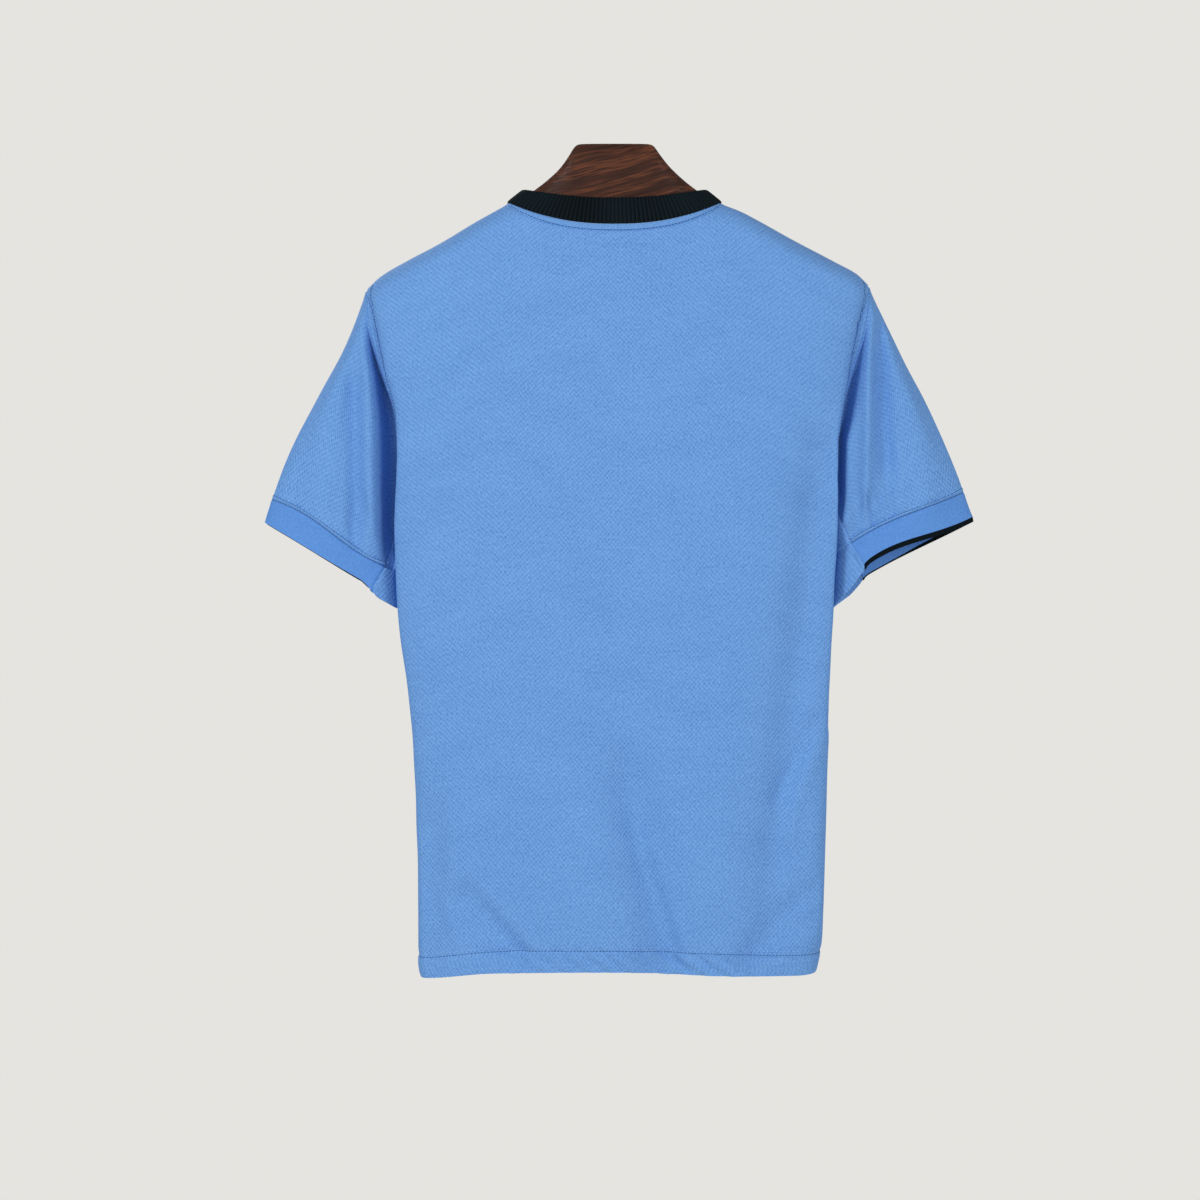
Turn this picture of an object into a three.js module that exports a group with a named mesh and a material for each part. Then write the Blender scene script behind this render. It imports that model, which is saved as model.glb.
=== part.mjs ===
// Football jersey with short sleeves, hanging on a wooden hanger.
//
// Millimetres, +Z up. The origin is the middle of the flat top of the hanger's neck. The front of
// the garment faces -Y, its back faces +Y, and the wearer's left arm is on +X.
//
// Every cloth piece is a grid of outer points that is given a wall. Neighbours share the points
// and normals along a seam, and each edge is then drawn back by half of the seam gap.

import * as THREE from "three";

// Driving dimensions
const CLOTH_WALL = 1.8;
const HEM_WALL = 2.6;
const HEM_HEIGHT = 18;
const RIB_WALL = 2.6;
const EDGING_WALL = 1.4;
const SEAM_GAP = 0.32;
const COLLAR_SEAM_GAP = 0.7;
const NECK_HALF_WIDTH = 97.7;
const BACK_NECK_Z = -75;
const FRONT_NECK_Z = -150;
const NECK_POINT_Z = -55;
const UNDERARM_Z = -352;
const HEM_Z = -766;
const SECTION_POWER = 2.8;
const SHOULDER_ROUND = 22;
const HANGER_TIP_X = 217;
const HANGER_FORWARD = 22;
const HANGER_CURVE_REACH = 222;
const HEM_HALF_WIDTH = 178;

// How soon the columns spread from the neckline and shoulders to the full width, how much wider
// the side bulges where its seam tucks in, from which share of the depth it turns under, and how
// close to the edge the folds fade out.
const SPREAD_SHARE = 0.16;
const BULGE_PER_TUCK = 0.8;
const TUCK_CROWN = 0.5;
const FOLD_EDGE_SHARE = 0.06;

// Grid counts
const NECK_COLUMNS = 7;
const SHOULDER_COLUMNS = 8;
const HALF_COLUMNS = NECK_COLUMNS + SHOULDER_COLUMNS;
const HEM_ROWS_ABOVE = 15;

// Each side of the garment, measured from the middle plane. The shoulder line runs from the neck
// point to the top of the armhole, and the edge is the armhole above the underarm and the side
// seam below it.
const SIDES = {
  left: {
    sign: 1,
    shoulderLine: [
      { x: 97.7, z: -55 },
      { x: 127, z: -71 },
      { x: 158, z: -89.5 },
      { x: 193, z: -108 },
      { x: 217, z: -124.5 },
      { x: 227.5, z: -134 },
    ],
    edge: [
      { z: -134, x: 227.5 },
      { z: -161, x: 221.6 },
      { z: -192, x: 217.7 },
      { z: -218, x: 213 },
      { z: -254, x: 204.5 },
      { z: -290, x: 202.5 },
      { z: -352, x: 203.5 },
      { z: -424, x: 201.5 },
      { z: -514, x: 191.5 },
      { z: -569, x: 186 },
      { z: -662, x: 182 },
      { z: -754, x: 180.5 },
      { z: -770, x: 178 },
    ],
  },
  right: {
    sign: -1,
    shoulderLine: [
      { x: 97.7, z: -55 },
      { x: 133, z: -71 },
      { x: 167.5, z: -89.5 },
      { x: 204, z: -108 },
      { x: 223.5, z: -121 },
      { x: 234, z: -130 },
    ],
    edge: [
      { z: -130, x: 234 },
      { z: -168, x: 225.6 },
      { z: -200, x: 220.7 },
      { z: -229, x: 216.4 },
      { z: -257, x: 212 },
      { z: -285, x: 208.5 },
      { z: -352, x: 207 },
      { z: -416, x: 203.5 },
      { z: -514, x: 199.5 },
      { z: -569, x: 197 },
      { z: -662, x: 194 },
      { z: -736, x: 190.6 },
      { z: -770, x: 184 },
    ],
  },
};

// Depth of the body at each height: the middle of the back and of the front, the edge of each
// panel, and how far the edge tucks in behind the fullest part of the side.
const BODY_DEPTH = [
  { z: -55, back: 18, front: -30, backEdge: -2, frontEdge: -40, tuck: 0 },
  { z: -134, back: 27, front: -44, backEdge: -1, frontEdge: -42, tuck: 0 },
  { z: -200, back: 33, front: -50, backEdge: 2, frontEdge: -43, tuck: 1.5 },
  { z: -270, back: 37, front: -53, backEdge: 4, frontEdge: -42, tuck: 4 },
  { z: -310, back: 38, front: -54, backEdge: 3, frontEdge: -37, tuck: 6 },
  { z: -336, back: 39, front: -54, backEdge: -1, frontEdge: -25, tuck: 8 },
  { z: -352, back: 39, front: -54, backEdge: -9, frontEdge: -9, tuck: 9 },
  { z: -440, back: 41, front: -54, backEdge: -9, frontEdge: -9, tuck: 9 },
  { z: -540, back: 41, front: -52, backEdge: -8, frontEdge: -8, tuck: 5 },
  { z: -660, back: 39, front: -49, backEdge: -7, frontEdge: -7, tuck: 2.5 },
  { z: -770, back: 36, front: -45, backEdge: -6, frontEdge: -6, tuck: 1 },
];

// How far the hem hangs below (-) or above (+) its level at each place across the garment.
const HEM_DROP = [
  { x: -186, z: 11 },
  { x: -172, z: 1.5 },
  { x: -146, z: -2 },
  { x: -104, z: -2 },
  { x: 0, z: 2 },
  { x: 101, z: 0.5 },
  { x: 161, z: -4.5 },
  { x: 178, z: -1 },
];

// Distances of the edge rows below the top of the armhole, out of the armhole's whole height.
const ARMHOLE_ROWS = [0, 3, 10, 21, 36, 52, 68, 84, 100, 116, 132, 148, 164, 180, 194, 202, 210, 218];
const GUSSET_ROWS = 3;
const SLEEVE_HALF_COLUMNS = ARMHOLE_ROWS.length - 1 - GUSSET_ROWS;

// Folds are soft troughs (depth below 0) or ridges (depth above 0) along a straight line from the
// first to the second point. Each fades out past its ends over the length given by fade.
const BACK_FOLDS = [
  { x0: -2, z0: -430, x1: -17, z1: -594, width: 30, depth: -2.4, fade: 90 },
  { x0: -18, z0: -600, x1: -46, z1: -745, width: 21, depth: -4.6, fade: 60 },
  { x0: 22, z0: -640, x1: -2, z1: -760, width: 30, depth: 3, fade: 60 },
  { x0: 108, z0: -560, x1: 100, z1: -720, width: 34, depth: -3.2, fade: 80 },
  { x0: 140, z0: -705, x1: 92, z1: -748, width: 15, depth: -3.6, fade: 22 },
  { x0: -186, z0: -330, x1: -152, z1: -640, width: 22, depth: -4.2, fade: 110 },
  { x0: -178, z0: -700, x1: -128, z1: -744, width: 15, depth: -4, fade: 24 },
  { x0: -100, z0: -600, x1: -112, z1: -740, width: 30, depth: 2.6, fade: 70 },
  { x0: 168, z0: -640, x1: 166, z1: -735, width: 13, depth: -3, fade: 50 },
];
const FRONT_FOLDS = [
  { x0: -28, z0: -250, x1: -40, z1: -740, width: 20, depth: 7.5, fade: 110 },
  { x0: -84, z0: -310, x1: -98, z1: -750, width: 22, depth: 6, fade: 90 },
  { x0: 34, z0: -270, x1: 46, z1: -745, width: 21, depth: 7, fade: 110 },
  { x0: 92, z0: -330, x1: 110, z1: -750, width: 22, depth: 6, fade: 90 },
  { x0: 2, z0: -230, x1: 4, z1: -730, width: 24, depth: -4, fade: 110 },
  { x0: -60, z0: -330, x1: -68, z1: -740, width: 19, depth: -4, fade: 90 },
  { x0: 64, z0: -340, x1: 78, z1: -740, width: 19, depth: -4, fade: 90 },
  { x0: -132, z0: -200, x1: -58, z1: -300, width: 24, depth: -5, fade: 50 },
  { x0: 130, z0: -210, x1: 60, z1: -305, width: 24, depth: -5, fade: 50 },
];

// A ring of the sleeve runs along its back and its front, from the outer fold under the arm.
const SLEEVES = {
  left: {
    outward: 0,
    rings: {
      seam: { outerX: 316, outerZ: -328.6, innerX: 204, innerZ: -393, backRise: 0, frontRise: -2, seamShift: 0.073 },
      edging: { outerX: 321.8, outerZ: -346, innerX: 203, innerZ: -416, backRise: -1, frontRise: -2, seamShift: -0.024 },
      bottom: { outerX: 323, outerZ: -350, innerX: 203, innerZ: -420, backRise: -1, frontRise: -2, seamShift: -0.024 },
    },
    folds: [
      { x0: 213, z0: -190, x1: 212, z1: -366, width: 11, depth: -19, fade: 30, face: "back" },
      { x0: 229, z0: -215, x1: 226, z1: -350, width: 8, depth: 4, fade: 50, face: "back" },
      { x0: 240, z0: -255, x1: 238, z1: -335, width: 8, depth: -5, fade: 34, face: "back" },
      { x0: 262, z0: -230, x1: 268, z1: -330, width: 18, depth: 4, fade: 60, face: "back" },
      { x0: 226, z0: -200, x1: 230, z1: -345, width: 12, depth: -9, fade: 50, face: "front" },
      { x0: 258, z0: -230, x1: 270, z1: -340, width: 13, depth: 6, fade: 50, face: "front" },
    ],
  },
  right: {
    outward: 2.5,
    rings: {
      seam: { outerX: 322.6, outerZ: -322, innerX: 207, innerZ: -378, backRise: 6, frontRise: -2, seamShift: 0.045 },
      edging: { outerX: 331.2, outerZ: -344.5, innerX: 207, innerZ: -414, backRise: 15, frontRise: 5, seamShift: -0.05 },
      bottom: { outerX: 332, outerZ: -349, innerX: 207, innerZ: -419, backRise: 15, frontRise: 5, seamShift: -0.05 },
    },
    folds: [
      { x0: 221, z0: -175, x1: 215, z1: -325, width: 9, depth: -16, fade: 34, face: "back" },
      { x0: 238, z0: -150, x1: 234, z1: -315, width: 8, depth: 5, fade: 40, face: "back" },
      { x0: 243, z0: -175, x1: 251, z1: -290, width: 8.5, depth: -7, fade: 40, face: "back" },
      { x0: 275, z0: -245, x1: 288, z1: -322, width: 16, depth: 4, fade: 50, face: "back" },
      { x0: 232, z0: -200, x1: 235, z1: -340, width: 12, depth: -9, fade: 50, face: "front" },
      { x0: 266, z0: -230, x1: 278, z1: -335, width: 13, depth: 6, fade: 50, face: "front" },
    ],
  },
};
const SLEEVE_ROWS = [0, 0.04, 0.09, 0.15, 0.22, 0.3, 0.4, 0.54, 0.7, 0.85, 1];
const CUFF_ROWS = [0, 0.5, 1];
const SLEEVE_BACK_DEPTH = 24;
const SLEEVE_FRONT_DEPTH = 24;
const SLEEVE_OUTER_Y = -13;
const SLEEVE_INNER_Y = -14;
const GUSSET_DROP = 5;
const TURNED_EDGING_HEIGHT = 5;
const TURNED_EDGING_SHOWS = 0.8;

// Collar band: how far it rises from the neckline, and which way it leans there.
const COLLAR_ROWS = [0, 0.34, 0.68, 1];
const COLLAR_HEIGHT = { centre: 24, neckPoint: 18.3 };
const COLLAR_LEAN = { inward: 0.78, back: -0.2, front: 0.16 };

// The hanger's upper outline at the neck, and its sizes along the arms.
const HANGER_NECK = [
  { x: 0, top: 0 },
  { x: 30, top: 0 },
  { x: 34, top: -0.7 },
  { x: 37, top: -2.7 },
  { x: 39, top: -6 },
  { x: 44, top: -17.5 },
  { x: 49, top: -24.5 },
  { x: 55, top: -30 },
  { x: 63, top: -37 },
  { x: 72, top: -43.4 },
  { x: 83, top: -51.2 },
  { x: 97.7, top: -59.4 },
];
const HANGER_NECK_BOTTOM = -88;
const HANGER_ARM = [
  { x: 0, height: 38, halfThick: 9 },
  { x: 72, height: 38, halfThick: 8.8 },
  { x: 97.7, height: 38, halfThick: 8 },
  { x: 150, height: 31, halfThick: 11 },
  { x: 200, height: 25, halfThick: 11.6 },
  { x: 217, height: 22, halfThick: 11.5 },
];
const HANGER_ARM_STATIONS = [112, 130, 148, 166, 184, 199, 208, 213];
const HANGER_CLEARANCE = { atNeck: 4.4, onArm: 3.2 };
const HANGER_ROUND_SIDES = 16;
const HANGER_END_ROUND = 9;

const COLOURS = {
  body: 0x6a9edc,
  cuff: 0x588fdd,
  rib: 0x0f171e,
  wood: 0x573423,
};

// Small maths

const lerp = (from, to, share) => from + (to - from) * share;
const clamp01 = (value) => Math.min(1, Math.max(0, value));
const smooth = (share) => {
  const t = clamp01(share);
  return t * t * (3 - 2 * t);
};

/** Reads one column of a table at a place along its key column, on a smooth curve. */
function readTable(table, key, column, at) {
  const rows = table[0][key] < table[table.length - 1][key] ? table : [...table].reverse();
  const last = rows.length - 1;
  if (at <= rows[0][key]) return rows[0][column];
  if (at >= rows[last][key]) return rows[last][column];
  let i = 0;
  while (rows[i + 1][key] < at) i += 1;
  const slope = (a, b) => (rows[b][column] - rows[a][column]) / (rows[b][key] - rows[a][key]);
  const step = rows[i + 1][key] - rows[i][key];
  const here = slope(i, i + 1);
  const before = i > 0 ? slope(i - 1, i) : here;
  const after = i + 1 < last ? slope(i + 1, i + 2) : here;
  const startSlope = before * here > 0 ? (2 * before * here) / (before + here) : 0;
  const endSlope = after * here > 0 ? (2 * after * here) / (after + here) : 0;
  const t = (at - rows[i][key]) / step;
  const rise = (rows[i + 1][column] - rows[i][column]) * (3 - 2 * t) * t * t;
  const bend = step * (startSlope * t * (1 - t) * (1 - t) - endSlope * t * t * (1 - t));
  return rows[i][column] + rise + bend;
}

/** Sum of the folds' heights at one place of a cloth. */
function foldHeight(folds, x, z) {
  let height = 0;
  for (const fold of folds) {
    const length = Math.hypot(fold.x1 - fold.x0, fold.z1 - fold.z0);
    const alongX = (fold.x1 - fold.x0) / length;
    const alongZ = (fold.z1 - fold.z0) / length;
    const along = (x - fold.x0) * alongX + (z - fold.z0) * alongZ;
    const across = (x - fold.x0) * alongZ - (z - fold.z0) * alongX;
    const started = smooth((along + fold.fade) / fold.fade);
    const ended = smooth((length + fold.fade - along) / fold.fade);
    const shape = Math.exp(-((across / fold.width) ** 2));
    height += fold.depth * shape * started * ended;
  }
  return height;
}

// Body panels

const depthAt = (z, column) => readTable(BODY_DEPTH, "z", column, z);
const armCentreY = (x) => -HANGER_FORWARD * (Math.abs(x) / HANGER_CURVE_REACH) ** 1.6;

/** Height of the line that the cloth hangs from: the shoulder line, and its run to the middle. */
function ridgeZ(side, halfX) {
  if (halfX >= NECK_HALF_WIDTH) return readTable(side.shoulderLine, "x", "z", halfX);
  return NECK_POINT_Z + (NECK_HALF_WIDTH - halfX) * 0.1;
}

/** Top edge of a panel: the neckline between the neck points, the shoulder line beyond them. */
function panelTopZ(side, face, halfX) {
  if (halfX >= NECK_HALF_WIDTH) return ridgeZ(side, halfX);
  const share = halfX / NECK_HALF_WIDTH;
  const low = face === "back" ? BACK_NECK_Z : FRONT_NECK_Z;
  const power = face === "back" ? 2.3 : 2.6;
  return low + (NECK_POINT_Z - low) * share ** power;
}

/** Half widths of the columns along the top edge, closer together towards the neck point. */
function topHalfX(side, column) {
  if (column <= NECK_COLUMNS) {
    const even = column / NECK_COLUMNS;
    return NECK_HALF_WIDTH * lerp(even, Math.sin((Math.PI / 2) * even), 0.6);
  }
  const tip = side.shoulderLine[side.shoulderLine.length - 1].x;
  return lerp(NECK_HALF_WIDTH, tip, (column - NECK_COLUMNS) / SHOULDER_COLUMNS);
}

/** Half widths of the columns on a section, evenly spaced along its curve. */
function sectionHalfX(width, depth, share) {
  const samples = 80;
  const lengths = [0];
  const places = [0];
  let previousX = 0;
  let previousY = depth;
  for (let i = 1; i <= samples; i += 1) {
    const angle = (Math.PI / 2) * (i / samples);
    const x = width * Math.sin(angle) ** (2 / SECTION_POWER);
    const y = depth * Math.cos(angle) ** (2 / SECTION_POWER);
    lengths.push(lengths[i - 1] + Math.hypot(x - previousX, y - previousY));
    places.push(x);
    previousX = x;
    previousY = y;
  }
  const target = share * lengths[samples];
  let i = 0;
  while (i < samples - 1 && lengths[i + 1] < target) i += 1;
  const part = (target - lengths[i]) / (lengths[i + 1] - lengths[i]);
  return lerp(places[i], places[i + 1], part);
}

/** Heights of the rows along the edge of one side, from the top of the armhole to the hem. */
function edgeRows(side) {
  const top = side.edge[0].z;
  const whole = ARMHOLE_ROWS[ARMHOLE_ROWS.length - 1];
  const rows = ARMHOLE_ROWS.map((offset) => lerp(top, UNDERARM_Z, offset / whole));
  const hemTop = HEM_Z + HEM_HEIGHT;
  for (let i = 1; i <= HEM_ROWS_ABOVE; i += 1) {
    rows.push(lerp(UNDERARM_Z, hemTop, i / HEM_ROWS_ABOVE));
  }
  rows.push(HEM_Z);
  return rows;
}

/** One outer point of a panel. Column 0 is the middle and HALF_COLUMNS the edge. */
function panelPoint(face, side, column, edgeZ) {
  const tipZ = side.edge[0].z;
  const share = column / HALF_COLUMNS;
  const down = (edgeZ - tipZ) / (HEM_Z - tipZ);
  const topX = topHalfX(side, column);
  const topZ = panelTopZ(side, face, topX);
  const hemZ = HEM_Z + readTable(HEM_DROP, "x", "z", side.sign * share * HEM_HALF_WIDTH);
  const z = lerp(topZ, hemZ, down);

  const tuck = depthAt(z, "tuck");
  const widening = face === "back" ? BULGE_PER_TUCK * tuck : 0;
  const width = readTable(side.edge, "z", "x", edgeZ) + widening;
  const centreY = depthAt(z, face);
  const edgeY = depthAt(lerp(z, edgeZ, share), `${face}Edge`);
  const evenX = sectionHalfX(width, Math.abs(centreY - edgeY), share);
  const halfX = lerp(topX, evenX, smooth(down / SPREAD_SHARE));
  const across = Math.min(1, halfX / width);
  const crown = (1 - across ** SECTION_POWER) ** (1 / SECTION_POWER);
  const sectionY = lerp(edgeY, centreY, crown);

  const below = Math.min(1, Math.max(0, ridgeZ(side, Math.min(halfX, topX)) - z) / SHOULDER_ROUND);
  const rounded = Math.sqrt(1 - (1 - below) ** 2);
  const folds = face === "back" ? BACK_FOLDS : FRONT_FOLDS;
  const outward = face === "back" ? 1 : -1;
  const foldY = outward * foldHeight(folds, side.sign * halfX, z) * smooth((1 - across) / FOLD_EDGE_SHARE);
  const y = lerp(armCentreY(halfX), sectionY, rounded) + foldY * rounded;

  const under = face === "back" ? (TUCK_CROWN - crown) / TUCK_CROWN : (across - 0.9) / 0.1;
  const tuckedBy = (tuck + widening) * smooth(under) ** (face === "back" ? 1 : 2);
  return new THREE.Vector3(side.sign * (halfX - tuckedBy), y, z);
}

/** Outer grid of the back or the front, from its top row to the hem. */
function panelGrid(face) {
  const leftRows = edgeRows(SIDES.left);
  const rightRows = edgeRows(SIDES.right);
  return leftRows.map((leftZ, row) => {
    const points = [];
    for (let column = -HALF_COLUMNS; column <= HALF_COLUMNS; column += 1) {
      if (column < 0) points.push(panelPoint(face, SIDES.right, -column, rightRows[row]));
      else points.push(panelPoint(face, SIDES.left, column, leftZ));
    }
    return points;
  });
}

/** Column 0 is worked out from both sides, so that neither side leaves a step there. */
function evenOutMiddle(face, grid) {
  const leftRows = edgeRows(SIDES.left);
  const rightRows = edgeRows(SIDES.right);
  const reach = 4;
  grid.forEach((points, row) => {
    const fromLeft = panelPoint(face, SIDES.left, 0, leftRows[row]);
    const fromRight = panelPoint(face, SIDES.right, 0, rightRows[row]);
    const halfStep = fromLeft.clone().sub(fromRight).multiplyScalar(0.5);
    for (let i = -reach; i <= reach; i += 1) {
      const share = 1 - Math.abs(i) / reach;
      const away = i < 0 ? 1 : -1;
      points[HALF_COLUMNS + i].addScaledVector(halfStep, away * share);
    }
  });
}

// Sleeves, cuffs, edgings and gussets

/** The armhole's points from the back gusset's end over the shoulder tip and round to it again. */
function armholeRing(sideName, backGrid, frontGrid) {
  const column = sideName === "left" ? 2 * HALF_COLUMNS : 0;
  const depth = ARMHOLE_ROWS.length - 1;
  const ring = [];
  for (let row = depth; row >= 0; row -= 1) ring.push(backGrid[row][column].clone());
  for (let row = 1; row <= depth; row += 1) ring.push(frontGrid[row][column].clone());
  return ring;
}

/** Share of the way from the outer fold to the underarm for each point of a ring. */
function ringShare(step) {
  const whole = ARMHOLE_ROWS.length - 1;
  const even = Math.abs(step) / whole;
  const asArmhole = ARMHOLE_ROWS[Math.abs(step)] / ARMHOLE_ROWS[whole];
  return (even + asArmhole) / 2;
}

/** One point of a flattened sleeve ring. Steps below 0 are on the back, above 0 on the front. */
function ringPoint(side, ring, step, drop) {
  const even = ringShare(step);
  const nearSeam = smooth((even - 0.5) / 0.36) * smooth((1 - even) / 0.12);
  const share = even + ring.seamShift * nearSeam;
  const onBack = step < 0;
  const crown = Math.sin(Math.PI * share) ** 0.62;
  const rise = (onBack ? ring.backRise : ring.frontRise) * Math.sin(Math.PI * share ** 1.6);
  const depth = onBack ? SLEEVE_BACK_DEPTH : -SLEEVE_FRONT_DEPTH;
  const nearGusset = smooth((share - 0.72) / 0.16);
  return new THREE.Vector3(
    side.sign * lerp(ring.outerX, ring.innerX, share),
    lerp(SLEEVE_OUTER_Y, SLEEVE_INNER_Y, share) + depth * crown,
    lerp(ring.outerZ, ring.innerZ, share) + rise - drop * nearGusset,
  );
}

/** Rows of rings from the armhole to the bottom of the sleeve, under their band names. */
function sleeveBands(sideName, armhole) {
  const side = SIDES[sideName];
  const sleeve = SLEEVES[sideName];
  const whole = ARMHOLE_ROWS.length - 1;
  const shapeRow = (from, to, share, fromArmhole) =>
    from.map((start, index) => {
      const step = index - whole;
      const point = start.clone().lerp(to[index], share);
      const outerShare = 1 - ringShare(step);
      const swell = Math.sin(Math.PI * share) * (fromArmhole ? 1 : 0);
      point.x += side.sign * sleeve.outward * swell * outerShare ** 3;
      point.y += (step < 0 ? 5 : -5) * swell * Math.sin(Math.PI * ringShare(step));
      const face = step < 0 ? "back" : "front";
      const folds = sleeve.folds.filter((fold) => fold.face === face);
      const height = foldHeight(folds, side.sign * point.x, point.z);
      const fromSeam = fromArmhole ? smooth(share / 0.12) : 1;
      const fromFold = smooth(Math.min(ringShare(step), 1 - ringShare(step)) / 0.12);
      point.y += (step < 0 ? 1 : -1) * height * fromSeam * fromFold;
      return point;
    });
  const steps = armhole.map((_, index) => index - whole);
  const plainRing = (ring, drop) => steps.map((step) => ringPoint(side, ring, step, drop));
  const seamRing = plainRing(sleeve.rings.seam, 0);
  const edgingRing = plainRing(sleeve.rings.edging, GUSSET_DROP * 0.8);
  const bottomRing = plainRing(sleeve.rings.bottom, GUSSET_DROP);
  return {
    sleeve: SLEEVE_ROWS.map((share) => shapeRow(armhole, seamRing, share, true)),
    cuff: CUFF_ROWS.map((share) => shapeRow(seamRing, edgingRing, share, false)),
    edging: [0, 1].map((share) => shapeRow(edgingRing, bottomRing, share, false)),
  };
}

const cutColumns = (rows, first, last) => rows.map((points) => points.slice(first, last + 1));

/** Puts the rows of bands below each other, leaving out the row that two bands share. */
const joinBands = (bands) => bands.flatMap((rows, index) => (index === 0 ? rows : rows.slice(1)));

// Collar

/** Rows of rings round the neck, from the neckline seam to the collar's upper edge. */
function collarGrid(backGrid, frontGrid) {
  const first = HALF_COLUMNS - NECK_COLUMNS;
  const last = HALF_COLUMNS + NECK_COLUMNS;
  const ring = [];
  for (let column = last; column > first; column -= 1) {
    ring.push({ base: backGrid[0][column], face: "back" });
  }
  for (let column = first; column < last; column += 1) {
    ring.push({ base: frontGrid[0][column], face: "front" });
  }
  return COLLAR_ROWS.map((share) =>
    ring.map(({ base, face }) => {
      const beside = Math.abs(base.x) / NECK_HALF_WIDTH;
      const height = lerp(COLLAR_HEIGHT.centre, COLLAR_HEIGHT.neckPoint, beside ** 2);
      const lean = new THREE.Vector3(
        -Math.sign(base.x) * COLLAR_LEAN.inward * beside ** 1.5,
        COLLAR_LEAN[face] * (1 - beside ** 2),
        1 - 0.38 * beside ** 2,
      );
      const outward = (face === "back" ? 1 : -1) * Math.sin(Math.PI * share) * 0.7 * (1 - beside ** 2);
      const point = base.clone().addScaledVector(lean.normalize(), height * share);
      point.y += outward;
      return point;
    }),
  );
}

// Walls

/** Normals of a grid's outer points, each the sum of the faces round it. */
function gridNormals(grid, closed) {
  const rows = grid.length;
  const columns = grid[0].length;
  const normals = grid.map((points) => points.map(() => new THREE.Vector3()));
  const spans = closed ? columns : columns - 1;
  const acrossEdge = new THREE.Vector3();
  const downEdge = new THREE.Vector3();
  for (let row = 0; row < rows - 1; row += 1) {
    for (let column = 0; column < spans; column += 1) {
      const next = (column + 1) % columns;
      acrossEdge.subVectors(grid[row + 1][next], grid[row][column]);
      downEdge.subVectors(grid[row + 1][column], grid[row][next]);
      const normal = new THREE.Vector3().crossVectors(acrossEdge, downEdge).normalize();
      normals[row][column].add(normal);
      normals[row][next].add(normal);
      normals[row + 1][column].add(normal);
      normals[row + 1][next].add(normal);
    }
  }
  return normals;
}

const placeKey = (point) => [point.x, point.y, point.z].map((value) => value.toFixed(2)).join(" ");

/** Gives points that several pieces share the sum of all of their normals. */
function shareNormals(pieces) {
  const shared = new Map();
  for (const piece of pieces) {
    piece.grid.forEach((points, row) =>
      points.forEach((point, column) => {
        const key = placeKey(point);
        if (!shared.has(key)) shared.set(key, new THREE.Vector3());
        shared.get(key).add(piece.normals[row][column].clone().normalize());
      }),
    );
  }
  for (const piece of pieces) {
    piece.normals = piece.grid.map((points) =>
      points.map((point) => shared.get(placeKey(point)).clone().normalize()),
    );
  }
}

/** Draws the sewn edges of a grid back by half of the seam gap, square to the seam's own plane. */
function seamOffsets(piece) {
  const { grid, normals, closed, sewn, gap = SEAM_GAP } = piece;
  const rows = grid.length;
  const columns = grid[0].length;
  const offsets = grid.map((points) => points.map(() => new THREE.Vector3()));
  const pull = (row, column, before, after, inside) => {
    const edge = grid[after[0]][after[1]].clone().sub(grid[before[0]][before[1]]);
    const away = new THREE.Vector3().crossVectors(normals[row][column], edge).normalize();
    const inwards = grid[inside[0]][inside[1]].clone().sub(grid[row][column]);
    const direction = Math.sign(away.dot(inwards));
    offsets[row][column].addScaledVector(away, (direction * gap) / 2);
  };
  for (let column = 0; column < columns; column += 1) {
    const before = closed ? (column - 1 + columns) % columns : Math.max(0, column - 1);
    const after = closed ? (column + 1) % columns : Math.min(columns - 1, column + 1);
    if (sewn.top) pull(0, column, [0, before], [0, after], [1, column]);
    const last = rows - 1;
    if (sewn.bottom) pull(last, column, [last, before], [last, after], [last - 1, column]);
  }
  if (closed || !sewn.sides) return offsets;
  for (let row = 0; row < rows; row += 1) {
    const above = Math.max(0, row - 1);
    const below = Math.min(rows - 1, row + 1);
    pull(row, 0, [above, 0], [below, 0], [row, 1]);
    const last = columns - 1;
    pull(row, last, [above, last], [below, last], [row, last - 1]);
  }
  return offsets;
}

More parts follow.
